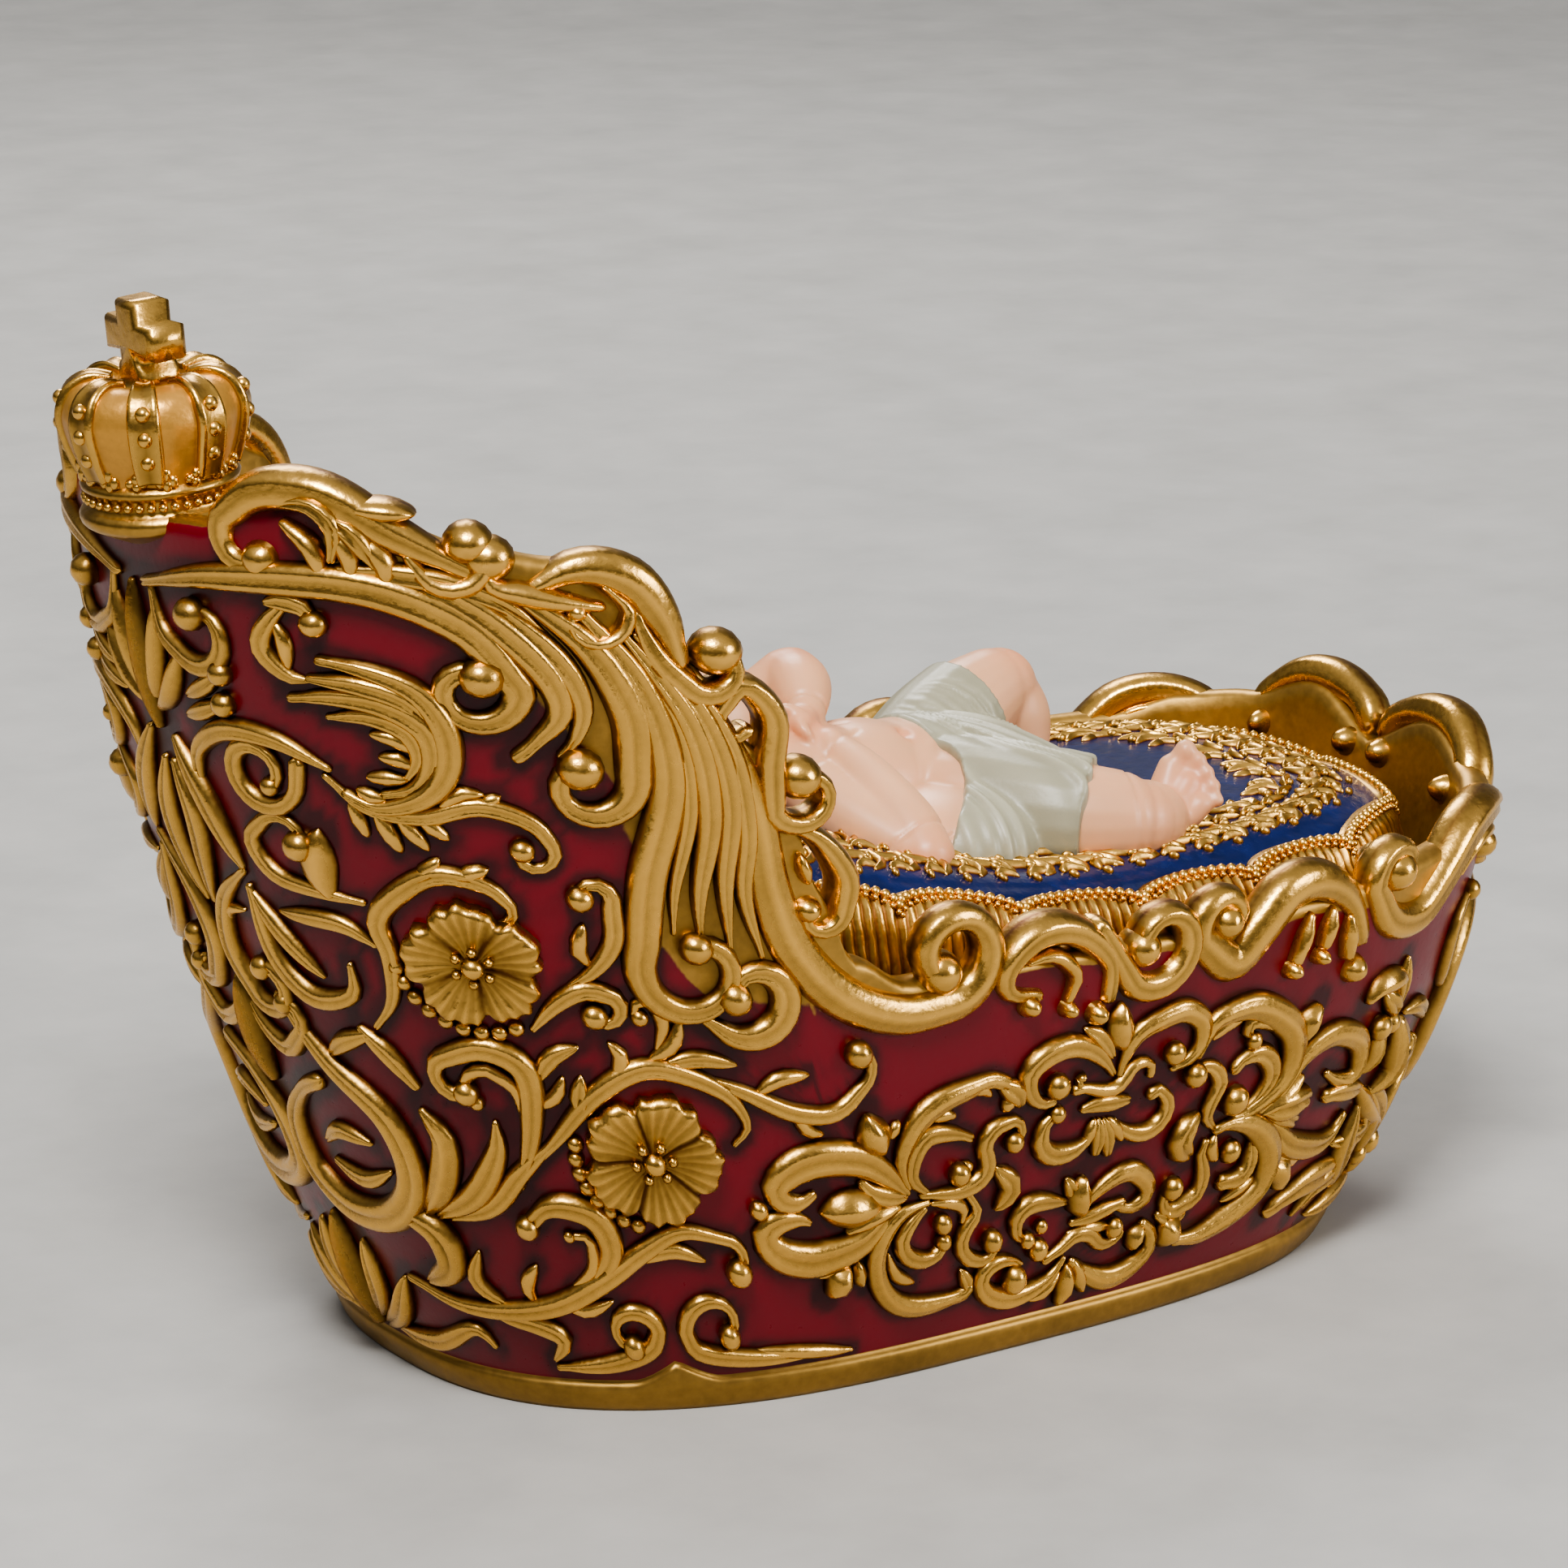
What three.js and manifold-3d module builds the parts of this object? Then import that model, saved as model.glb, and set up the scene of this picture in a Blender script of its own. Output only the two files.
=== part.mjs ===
// Baroque cradle figurine: a gilded tub with headboard and crown, a lace-skirted cushion and the infant on it.
// Millimetres, +Z up. The headboard is at -X, the foot at +X, and the cradle is alike on both sides of Y = 0.
import * as THREE from "three";
import { mergeVertices } from "three/addons/utils/BufferGeometryUtils.js";
import Module from "manifold-3d";

const wasm = await Module();
wasm.setup();

// Driving dimensions of the tub. Each reach goes from its base value to its top value by a bowed curve.
const TUB_TOP = 130;
const HEAD = { base: 66, top: 106.7, bow: 1.48, round: 2.58 };
const FOOT = { base: 84, top: 120, bow: 3, round: 3.2 };
const SIDE = { base: 46, top: 58.7, bow: 2.33 };
const CENTRE_SHIFT = -1.84; // moves the tub's own middle so that the whole object is centred on X = 0
const CHART_HEIGHT = 60; // the height at which distance round the tub is counted
const WALL = 5;
const FLOOR = 10;
const BAND = { height: 6, proud: 1.2 };
const RIM = { out: 2.4, in: 5.4 }; // how far the rim's scrolls stand out of the wall, and reach in
const STATIONS = 32; // round the tub
const SINK = 1.5; // how far carving is let into the wall
const REST_GAP = 0.3; // between the infant and the cushion it lies on
const STATION_STEP = 10; // distance along a carved line between two sections
const STATION_TURN = 75; // degrees of a spiral between two sections
const SPIRAL_SHRINK = 0.4; // share of its radius that a spiral ends with

// Height of the wall's top edge against the distance s from the middle of the headboard.
const EDGE = [
  [0, 130], [16, 131.5], [25, 135], [34, 137.5], [43, 133], [52, 130], [62, 128], [69, 123], [77, 112],
  [84, 100], [89, 88], [92, 77], [97, 66], [106, 61], [120, 61], [150, 60], [190, 60], [215, 61],
  [228, 64], [240, 65], [254, 69], [272, 62],
];

const CROWN = { x: -101.1, z: 130.4, ring: 10.55, ball: 12.3, lean: 4.8, arches: 8 };
const CROSS = { foot: 16, top: 29.7, arm: 13, width: 5.7, depth: 6 };

// The cushion has rows of height and of gap to the outside of the tub, from the bottom up, and a raised head end.
const CUSHION = {
  rows: [[10.3, 13], [16, 8], [38, 8], [52, 10.5], [62, 14.5], [64.8, 19]],
  crown: 66.2,
  ramp: { start: 18, slope: 0.29, soft: 8, top: 17 },
  stations: 36,
};

const GOLD = { color: 0xa9823f, roughness: 0.38, metalness: 0.75 };
const BLUE = { color: 0x142a6b, roughness: 0.22, metalness: 0.05 };
const SKIN = { color: 0xe3b38f, roughness: 0.5, metalness: 0 };

const reach = (part, z) => {
  const rise = THREE.MathUtils.clamp(z / TUB_TOP, 0, 1);
  return part.base + (part.top - part.base) * (1 - (1 - rise) ** part.bow);
};

// A point on the tub's outside at a plan angle and a height: each end is its own superellipse.
function onTub(angle, z, inset = 0) {
  const end = Math.cos(angle) < 0 ? HEAD : FOOT;
  const power = 2 / end.round;
  const x = Math.sign(Math.cos(angle)) * Math.abs(Math.cos(angle)) ** power * (reach(end, z) - inset);
  const y = Math.sign(Math.sin(angle)) * Math.abs(Math.sin(angle)) ** power * (reach(SIDE, z) - inset);
  return new THREE.Vector3(x, y, z);
}

// Distance round the tub from the headboard's middle, for a set of plan angles on the near side.
const WALK_STEPS = 1500;
const walk = [{ angle: -Math.PI, s: 0 }];
for (let i = 1; i <= WALK_STEPS; i++) {
  const angle = -Math.PI + (Math.PI * i) / WALK_STEPS;
  const step = onTub(angle, CHART_HEIGHT).distanceTo(onTub(walk[i - 1].angle, CHART_HEIGHT));
  walk.push({ angle, s: walk[i - 1].s + step });
}
const HALF_ROUND = walk[WALK_STEPS].s;

function angleAt(s) {
  const wrapped = Math.min(Math.abs(s), 2 * HALF_ROUND - Math.abs(s));
  let low = 0;
  let high = WALK_STEPS;
  while (high - low > 1) {
    const mid = (low + high) >> 1;
    if (walk[mid].s > wrapped) high = mid;
    else low = mid;
  }
  const part = (wrapped - walk[low].s) / (walk[high].s - walk[low].s);
  const angle = THREE.MathUtils.lerp(walk[low].angle, walk[high].angle, part);
  return (s >= 0) === (Math.abs(s) <= HALF_ROUND) ? angle : -angle;
}

// A point of the chart (s round the tub, z up) at a height over the tub's outside.
function onChart(s, z, over = 0) {
  const at = onTub(angleAt(s), z);
  const d = 0.6;
  const alongS = onTub(angleAt(s + d), z).sub(onTub(angleAt(s - d), z));
  const alongZ = onTub(angleAt(s), z + d).sub(onTub(angleAt(s), z - d));
  return at.addScaledVector(alongS.cross(alongZ).normalize(), over);
}

function edgeHeight(s) {
  const i = EDGE.findIndex(([end]) => end >= Math.abs(s) && end > 0);
  const [s0, z0] = EDGE[i - 1];
  const [s1, z1] = EDGE[i];
  return THREE.MathUtils.lerp(z0, z1, THREE.MathUtils.smoothstep(Math.abs(s), s0, s1));
}

// A closed surface through rings of points, with a cap on the first and on the last ring.
function lofted(rings) {
  const count = rings[0].length;
  const position = rings.flat().flatMap((p) => [p.x, p.y, p.z]);
  const index = [];
  for (let r = 0; r < rings.length - 1; r++) {
    for (let c = 0; c < count; c++) {
      const a = r * count + c;
      const b = r * count + ((c + 1) % count);
      index.push(a, b, b + count, a, b + count, a + count);
    }
  }
  for (const [r, outward] of [[0, -1], [rings.length - 1, 1]]) {
    const hub = position.length / 3;
    const middle = rings[r].reduce((sum, p) => sum.add(p), new THREE.Vector3()).divideScalar(count);
    position.push(middle.x, middle.y, middle.z);
    for (let c = 0; c < count; c++) {
      const pair = [r * count + c, r * count + ((c + 1) % count)];
      index.push(...(outward > 0 ? pair : pair.reverse()), hub);
    }
  }
  const geometry = new THREE.BufferGeometry();
  geometry.setAttribute("position", new THREE.Float32BufferAttribute(position, 3));
  geometry.setIndex(index);
  return geometry;
}

// A geometry as a solid, turned inside out where its faces point inwards.
function solid(geometry) {
  const bare = geometry.clone();
  bare.deleteAttribute("normal");
  bare.deleteAttribute("uv");
  const merged = mergeVertices(bare, 1e-4);
  const vertProperties = merged.attributes.position.array;
  const triVerts = new Uint32Array(merged.index.array);
  const made = new wasm.Manifold(new wasm.Mesh({ numProp: 3, vertProperties, triVerts }));
  if (made.volume() > 0) return made;
  for (let i = 0; i < triVerts.length; i += 3) {
    [triVerts[i + 1], triVerts[i + 2]] = [triVerts[i + 2], triVerts[i + 1]];
  }
  return new wasm.Manifold(new wasm.Mesh({ numProp: 3, vertProperties, triVerts }));
}

const join = (solids) => solids.reduce((whole, next) => whole.add(next));

function meshOf(name, made, finish) {
  const raw = made.getMesh();
  const geometry = new THREE.BufferGeometry();
  geometry.setAttribute("position", new THREE.BufferAttribute(raw.vertProperties, 3));
  geometry.setIndex(new THREE.BufferAttribute(raw.triVerts, 1));
  geometry.computeVertexNormals();
  const mesh = new THREE.Mesh(geometry, new THREE.MeshStandardMaterial(finish));
  mesh.name = name;
  return mesh;
}

// The tub: rings from the underside out, up the wall, over its edge and down to the floor.
function tub() {
  const flat = (s, share, z) => onChart(s, z, -WALL).multiply(new THREE.Vector3(share, share, 1)).setZ(z);
  const between = (s, share) => THREE.MathUtils.lerp(BAND.height, edgeHeight(s), share);
  const profile = [
    (s) => flat(s, 0.3, 0),
    (s) => onChart(s, 0, BAND.proud).setZ(0),
    (s) => onChart(s, BAND.height, BAND.proud),
    (s) => onChart(s, BAND.height + 1, 0),
    (s) => onChart(s, between(s, 0.33), 0),
    (s) => onChart(s, between(s, 0.66), 0),
    (s) => onChart(s, edgeHeight(s), 0),
    (s) => onChart(s, edgeHeight(s), -WALL),
    (s) => onChart(s, between(s, 0.5), -WALL),
    (s) => onChart(s, FLOOR + 3, -WALL),
    (s) => flat(s, 0.93, FLOOR),
    (s) => flat(s, 0.3, FLOOR),
  ];
  const round = Array.from({ length: STATIONS }, (_, i) => HALF_ROUND * ((2 * i) / STATIONS - 1));
  return solid(lofted(profile.map((at) => round.map(at))));
}

// A carved line in the chart: out of its first eye, through its points, then round its last eye, the radius shrinking.
function centreline({ line, eye, turn = 0, eye0, turn0 = 0 }) {
  const spiral = ([s, z], from, degrees) => {
    const radius = Math.hypot(from[0] - s, from[1] - z);
    const start = Math.atan2(from[1] - z, from[0] - s);
    const count = Math.ceil(Math.abs(degrees) / STATION_TURN);
    return Array.from({ length: count }, (_, i) => {
      const t = (i + 1) / count;
      const a = start + THREE.MathUtils.degToRad(degrees) * t;
      const r = radius * THREE.MathUtils.lerp(1, SPIRAL_SHRINK, t);
      return new THREE.Vector2(s + r * Math.cos(a), z + r * Math.sin(a));
    });
  };
  const curve = new THREE.SplineCurve(line.map(([s, z]) => new THREE.Vector2(s, z)));
  const body = curve.getSpacedPoints(Math.max(1, Math.round(curve.getLength() / STATION_STEP)));
  const before = eye0 ? spiral(eye0, line[0], turn0).reverse() : [];
  const after = eye ? spiral(eye, line[line.length - 1], turn) : [];
  return [...before, ...body, ...after];
}

// Sweeps a section along a carved line. The section gives [across, over] pairs for a width of 1.
function sweep(spec, section) {
  const points = centreline(spec);
  const { width, start = 0.45, end = 0.6, mirror = 1 } = spec;
  const rings = points.map((p, i) => {
    const before = points[Math.max(i - 1, 0)];
    const after = points[Math.min(i + 1, points.length - 1)];
    const along = after.clone().sub(before).normalize();
    const t = i / (points.length - 1);
    const w = width * Math.max(Math.sin(Math.PI * t) ** 0.7, THREE.MathUtils.lerp(start, end, t));
    return section.map(([across, over]) =>
      onChart(mirror * (p.x - along.y * across * w), p.y + along.x * across * w, over),
    );
  });
  return solid(lofted(rings));
}

const ridge = (high) => [[-0.5, -SINK], [0.5, -SINK], [0, high]];
const ROLL = [[-0.5, -RIM.in], [-0.4, RIM.out], [0.4, RIM.out], [0.5, -RIM.in]];

// The scrolls that stand on the wall's edge, from the crown to the middle of the foot.
const RIM_SCROLLS = [
  { line: [[53, 128.5], [43, 134], [34, 139], [26, 139], [20, 135], [24, 131.5]], width: 6.4, end: 0.9 },
  { line: [[50, 128.5], [58, 126], [64, 128.6], [70, 127], [74, 119.5], [79, 111.5]], width: 5.4, start: 0.7 },
  { line: [[79.5, 105], [83.5, 108.5], [86.5, 98], [94, 84], [94.5, 76], [90, 77]], width: 4, start: 0.8, end: 1.2 },
  {
    line: [[78, 108], [83.5, 93], [85, 78], [92, 64.5], [103, 58], [112.5, 58]],
    eye: [112.5, 66], turn: 300, width: 6.4,
  },
  { line: [[126.5, 56.5], [122, 60], [127, 66], [134, 65], [140, 59.5], [140, 52]], width: 4.6 },
  { line: [[138, 65], [144.5, 55.5]], eye: [149.2, 60.5], turn: 250, width: 4.8, start: 0.7, end: 0.9 },
  {
    line: [[156.5, 60], [163.5, 55], [173, 64], [180, 64], [187, 59.5], [191.5, 52]],
    eye0: [161.2, 61.6], turn0: -180, width: 6.4, start: 0.8,
  },
  {
    line: [[192, 60.5], [197.5, 54.5], [205, 53.5], [216.5, 63.8], [223.5, 65.4], [230.5, 64.2], [235.5, 60]],
    eye0: [197, 62], turn0: -130, width: 6, start: 0.8,
  },
  {
    line: [[241.5, 61.5], [243.5, 66.5], [250, 70.4], [258, 70.8], [264.5, 68.5], [267, 64]],
    width: 6.2, start: 0.9, end: 0.9,
  },
];

// The larger carving on the outside: strands under the rim, acanthus, vines, the C of the back and the base scrolls.
const CARVING = [
  { line: [[4, 122], [20, 126], [38, 126.5], [50, 121], [56, 112]], eye: [50.5, 112], turn: -230, width: 4.2 },
  { line: [[56, 126], [65, 117], [68.5, 99]], eye: [62.8, 98.3], turn: -210, width: 4.2, end: 1 },
  { line: [[63, 125], [72, 104], [68.5, 84], [67, 73]], eye: [73.5, 69.8], turn: 230, width: 4.6 },
  { line: [[31, 115.5], [44, 110], [45.6, 100.5], [38, 96], [22, 95]], width: 5.4, start: 0.2, end: 0.5 },
  { line: [[7.5, 92], [14, 103], [31.5, 100]], width: 3.6, start: 0.3, end: 0.1 },
  { line: [[28, 61], [33.5, 76], [42, 85.5], [51.5, 79.5]], width: 3.6, start: 0.3, end: 0.2 },
  { line: [[45, 39], [57, 52], [70, 54], [77, 42.5]], width: 3.6, start: 0.3, end: 0.2 },
  { line: [[10, 64], [25, 47], [22, 31], [6, 30], [5, 43]], width: 4.8 },
  { line: [[19, 31], [27.5, 26], [18, 18.5], [42, 17.5], [60, 27.5], [73.5, 26]], width: 3.8, end: 1 },
  { line: [[50, 21], [53.5, 31], [42.6, 29]], width: 4.2, end: 0.9 },
  { line: [[40, 6.5], [55, 9.4]], eye: [55, 13.2], turn: 210, width: 3.4, end: 0.8 },
  { line: [[86, 6.4], [69.5, 9]], eye: [69.5, 13.3], turn: -210, width: 3.4, end: 0.8 },
  { line: [[262, 46], [244, 50], [230, 38], [236, 22], [247, 26]], width: 4.8 },
];
const FLOWERS = [
  { at: [44.5, 72.5], radius: 9.2 },
  { at: [64, 41.5], radius: 10.4 },
];
const MOUND = { from: 54, peak: 61, to: 70, high: 9.2 };

// The side cartouche is alike on both sides of these two axes, so one quarter of it is listed.
const CARTOUCHE = { s: 143, z: 28.6 };
const CARTOUCHE_STROKES = [
  { line: [[1, 11], [9, 21], [17, 16], [12, 12]], width: 3.4, end: 0.9 },
  { line: [[39, 1.2], [38, 14], [27, 17.8], [17.5, 11]], width: 4, end: 0.4 },
  { line: [[40, 1.2], [52, 12.4], [61, 9.5], [60, 4]], width: 3.6, end: 0.7 },
];
const CARTOUCHE_LEAF = { line: [[30, 0], [44, 0], [53.5, 0]], width: 5, start: 0.8, end: 0.1 };
const CORNER_LEAVES = { at: [206, 28], angles: [75, 150, 225], length: 17, width: 5 };
// The middle of the headboard and of the foot, which lie on the axis of symmetry, have three leaves each.
const PALMETTES = [
  { at: [0, 104], angles: [90, 58, 122], length: 16, width: 4.6 },
  { at: [HALF_ROUND, 12], angles: [90, 50, 130], length: 26, width: 6 },
];

const bothSides = (list, make) =>
  list.flatMap((spec) => [1, -1].flatMap((mirror) => make({ ...spec, mirror })));

const carved = (spec) => [sweep(spec, ridge(2.2))];
const rimScroll = (spec) => [sweep(spec, ROLL)];

// A flower is a low fluted dish whose rim waves between petals.
function flower({ at, radius, mirror }) {
  const petals = 5;
  const around = petals * 2;
  const ring = (share, over, wave) =>
    Array.from({ length: around }, (_, i) => {
      const r = radius * share * (i % 2 ? 1 : 1 - wave);
      const a = (2 * Math.PI * i) / around;
      return onChart(mirror * (at[0] + r * Math.cos(a)), at[1] + r * Math.sin(a), over);
    });
  return [solid(lofted([ring(1, -SINK, 0.2), ring(1, 1.4, 0.2), ring(0.45, 2.8, 0)]))];
}

const fan = ({ at, angles, length, width, mirror }) =>
  angles.map((degrees) => {
    const a = THREE.MathUtils.degToRad(degrees);
    const tip = [at[0] + length * Math.cos(a), at[1] + length * Math.sin(a)];
    return sweep({ line: [at, tip], width, start: 0.3, end: 0.1, mirror }, ridge(2.4));
  });

function cartouche(mirror) {
  const placed = (spec, flipS, flipZ) => {
    const move = ([s, z]) => [CARTOUCHE.s + flipS * s, CARTOUCHE.z + flipZ * z];
    const eye = spec.eye && move(spec.eye);
    return { ...spec, line: spec.line.map(move), eye, turn: (spec.turn ?? 0) * flipS * flipZ, mirror };
  };
  return [1, -1].flatMap((flip) => [
    ...[1, -1].flatMap((flipZ) => CARTOUCHE_STROKES.flatMap((spec) => carved(placed(spec, flip, flipZ)))),
    ...carved(placed(CARTOUCHE_LEAF, flip, 1)),
  ]);
}

// The base band swells to a point between the two base scrolls.
function mound({ from, peak, to, high, mirror }) {
  const low = BAND.height - 2;
  const outline = [[from, low], [from, BAND.height], [peak, high], [to, BAND.height], [to, low]];
  const face = (over) => outline.map(([s, z]) => onChart(mirror * s, z, over));
  return [solid(lofted([face(-SINK), face(BAND.proud - 0.1)]))];
}

// The crown: a ball pinched between its raised arches, on a plain ring, and the cross on top.
function crown() {
  const { ring, ball, arches } = CROWN;
  const around = arches * 2;
  // Each row of the profile is height, radius and how much the arches stand out.
  const profile = [
    [-5, ring * 0.5, 0], [0, ring * 1.03, 0], [4.8, ring * 1.04, 0], [7.5, ball * 0.87, 1], [11.5, ball * 0.99, 1],
    [14.5, ball * 1.02, 1], [17.5, ball * 0.92, 1], [19.4, ball * 0.62, 1], [18.6, ball * 0.36, 0],
  ];
  const rows = profile.map(([z, radius, proud]) =>
    Array.from({ length: around }, (_, i) => {
      const a = (2 * Math.PI * i) / around;
      const r = radius + (i % 2 ? -0.7 : 0.7) * proud;
      return new THREE.Vector3(r * Math.cos(a), r * Math.sin(a), z);
    }),
  );
  const { top, arm, width, depth, foot: footHeight } = CROSS;
  const post = new THREE.BoxGeometry(depth, width, top - footHeight).translate(0, 0, (top + footHeight) / 2);
  const foot = new THREE.BoxGeometry(depth + 1.6, width + 1.8, 2.6).translate(0, 0, footHeight + 3);
  const arms = new THREE.BoxGeometry(depth - 0.2, arm, width - 0.5).translate(0, 0, top - width + 0.6);
  const lean = new THREE.Matrix4().makeRotationY(-THREE.MathUtils.degToRad(CROWN.lean));
  lean.setPosition(CROWN.x, 0, CROWN.z);
  return [lofted(rows), post, foot, arms].map((geometry) => solid(geometry.applyMatrix4(lean)));
}

function cradle() {
  return join([
    tub(),
    ...crown(),
    ...bothSides(RIM_SCROLLS, rimScroll),
    ...bothSides(CARVING, carved),
    ...bothSides(FLOWERS, flower),
    ...bothSides([MOUND], mound),
    ...bothSides([CORNER_LEAVES], fan),
    ...PALMETTES.flatMap((spec) => fan({ ...spec, mirror: 1 })),
    ...cartouche(1),
    ...cartouche(-1),
  ]);
}

// The cushion follows the inside of the tub and rises towards the headboard.
function cushionRise(x) {
  const { start, slope, soft, top } = CUSHION.ramp;
  return top * Math.tanh((slope * soft * Math.log1p(Math.exp((start - x) / soft))) / top);
}

function cushion() {
  const { rows, crown: crownHeight, stations } = CUSHION;
  const round = Array.from({ length: stations }, (_, i) => (2 * Math.PI * i) / stations);
  const lift = (p, share) => p.setZ(p.z + cushionRise(p.x) * share);
  const side = rows.map(([z, gap]) =>
    round.map((angle) => lift(onTub(angle, z, gap), THREE.MathUtils.smoothstep(z, 20, 60))),
  );
  const [rimHeight, rimGap] = rows[rows.length - 1];
  const top = [0.7, 0.35].map((share) =>
    round.map((angle) => {
      const p = onTub(angle, rimHeight, rimGap);
      const z = THREE.MathUtils.lerp(crownHeight, rimHeight, share ** 2);
      return lift(p.set(p.x * share, p.y * share, z), 1);
    }),
  );
  return solid(lofted([...side, ...top]));
}

// A limb tapers through a list of [x, y, z, radius].
function limb(joints, sides = 6) {
  const centre = joints.map(([x, y, z]) => new THREE.Vector3(x, y, z));
  const rings = centre.map((p, i) => {
    const along = centre[Math.min(i + 1, centre.length - 1)].clone().sub(centre[Math.max(i - 1, 0)]).normalize();
    const a = along.clone().cross(new THREE.Vector3(0, 1, 0.2)).normalize();
    const b = a.clone().cross(along);
    return Array.from({ length: sides }, (_, k) => {
      const t = (2 * Math.PI * k) / sides;
      return p.clone().addScaledVector(a, joints[i][3] * Math.cos(t)).addScaledVector(b, joints[i][3] * Math.sin(t));
    });
  });
  return solid(lofted(rings));
}

function lump([x, y, z], [rx, ry, rz], tilt = 0, sides = 8, bands = 6) {
  const sphere = new THREE.SphereGeometry(1, sides, bands).rotateX(Math.PI / 2).scale(rx, ry, rz).rotateY(-tilt);
  return solid(sphere.translate(x, y, z));
}

// The infant lies on its back with its head to the headboard, hands together, one knee raised and one leg turned out.
function infant() {
  return join([
    lump([-14.5, 0, 86.5], [10.2, 9.6, 10.4], 0.35, 10, 7),
    lump([-3, 0, 80.4], [8, 5.6, 5.6], 0.5, 6, 4),
    lump([5, 0, 75.8], [13.5, 12.6, 9], 0.24),
    lump([22, 0, 72.6], [17, 12.4, 8.8], 0.12),
    limb([[1, -9, 77, 4.8], [2.5, -18, 73, 4.9], [6, -28.2, 70.4, 4]]),
    limb([[6.4, -28.4, 71, 3.7], [5.4, -20.5, 75, 4.6], [3.2, -4, 82, 3.2]]),
    limb([[0, 9, 77, 4.8], [4.5, 13.6, 81, 5.4], [10, 12.2, 86.4, 4.9]]),
    limb([[10.4, 12, 87.2, 4.4], [7.6, 7, 86, 4.6], [3.4, -3, 82, 3.2]]),
    limb([[26, 6, 72, 7], [38, 10, 77, 7.8], [50, 12, 79.6, 5.4]]),
    limb([[50.5, 12, 80.4, 4.6], [53.5, 11.4, 75, 5.8], [54.5, 10.4, 66.9, 4]]),
    lump([58.5, 10.4, 68.4], [6.4, 3.6, 2.8], 0, 6, 4),
    limb([[24, -9, 71, 8.4], [33, -21, 70, 8.6], [43.5, -27, 69, 6.2], [51.8, -24.4, 68, 4.2]]),
    limb([[52, -24.3, 65.8, 3], [54.3, -24.1, 71, 3.6], [55.9, -23.3, 76.8, 2.4]]),
  ]);
}

const cushionSolid = cushion();
const raised = cushionSolid.translate([0, 0, REST_GAP]);
const group = new THREE.Group();
group.add(
  meshOf("cradle", cradle(), GOLD),
  meshOf("cushion", cushionSolid, BLUE),
  meshOf("infant", infant().subtract(raised), SKIN),
);
group.position.x = CENTRE_SHIFT;

export default group;
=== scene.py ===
"""Red and gold baroque cradle figurine: a carved tub with its crown, a blue cushion and the infant on it.

Lengths are worked out in millimetres and put into the meshes in metres. The carving is drawn on a chart of
the tub's outside: s is the distance round the tub from the middle of the headboard, at a height of 60 mm,
and z is up.
"""
import math

import bpy
import numpy as np
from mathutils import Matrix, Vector


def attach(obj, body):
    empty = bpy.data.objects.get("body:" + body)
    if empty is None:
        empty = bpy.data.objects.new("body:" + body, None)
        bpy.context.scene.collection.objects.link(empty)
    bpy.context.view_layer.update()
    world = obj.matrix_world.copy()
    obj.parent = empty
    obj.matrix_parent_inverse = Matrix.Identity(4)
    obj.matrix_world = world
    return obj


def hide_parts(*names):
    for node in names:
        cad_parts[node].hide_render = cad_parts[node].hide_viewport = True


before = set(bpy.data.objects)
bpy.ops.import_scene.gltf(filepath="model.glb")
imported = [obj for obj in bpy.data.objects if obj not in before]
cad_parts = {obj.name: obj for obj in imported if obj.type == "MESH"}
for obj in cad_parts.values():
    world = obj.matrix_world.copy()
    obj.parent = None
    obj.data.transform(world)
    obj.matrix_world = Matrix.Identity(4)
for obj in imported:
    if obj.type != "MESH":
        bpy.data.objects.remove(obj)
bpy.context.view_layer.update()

bl_info = {
    "name": "Baroque cradle figurine",
    "version": (1, 0, 0),
    "blender": (4, 5, 0),
    "location": "View3D > Sidebar > Cradle",
    "description": "Builds a carved and painted cradle with its cushion and infant",
    "category": "Add Mesh",
}

MM = 0.001
HEAD = (66.0, 106.7, 1.48, 2.58)  # base reach, top reach, bow, roundness in plan
FOOT = (84.0, 120.0, 3.0, 3.2)
SIDE = (46.0, 58.7, 2.33)
SHIFT = -1.84  # the tub's own middle, along X, in the object's frame
CHART_HEIGHT = 60.0
PROBE = 0.6  # how far to either side of a chart point the surface is read for its normal
FLOOR = 10.0  # height of the tub's floor
SINK = 1.2  # how far the foot of the carving lies inside the wall
BOLD = 1.22  # how much wider the tool cuts than the line is drawn
STEP = 1.35  # distance between the cuts of a carved line
TIGHT = 0.42  # a spiral's last radius as a share of its first
ROUND_OFF = 1.2  # length of the closer cuts at either end of a line
EDGE = np.array([
    (0, 130), (16, 131.5), (25, 135), (34, 137.5), (43, 133), (52, 130), (62, 128), (69, 123), (77, 112),
    (84, 100), (89, 88), (92, 77), (97, 66), (106, 61), (120, 61), (150, 60), (190, 60), (215, 61), (228, 64),
    (240, 65), (254, 69), (272, 62),
], float)


# Arrays of points

def unit(vectors):
    """Each vector divided by its own length."""
    return vectors / np.linalg.norm(vectors, axis=-1, keepdims=True)


def run_along(path):
    """The distance of each point from the start of a polyline: the running sum of its steps' lengths."""
    return np.concatenate([[0], np.cumsum(np.linalg.norm(np.diff(path, axis=0), axis=1))])


def full_turn(count):
    """So many equal angles round a circle."""
    return np.linspace(0, 2 * np.pi, count, endpoint=False)


def ease(share):
    """A smooth step from 0 to 1: three times the square of the share less twice its cube."""
    share = np.clip(share, 0, 1)
    return share * share * (3 - 2 * share)


def off(centre, distance, angle):
    """The point at a distance and an angle from a centre."""
    return centre[0] + distance * math.cos(angle), centre[1] + distance * math.sin(angle)


# The tub as a surface

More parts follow.
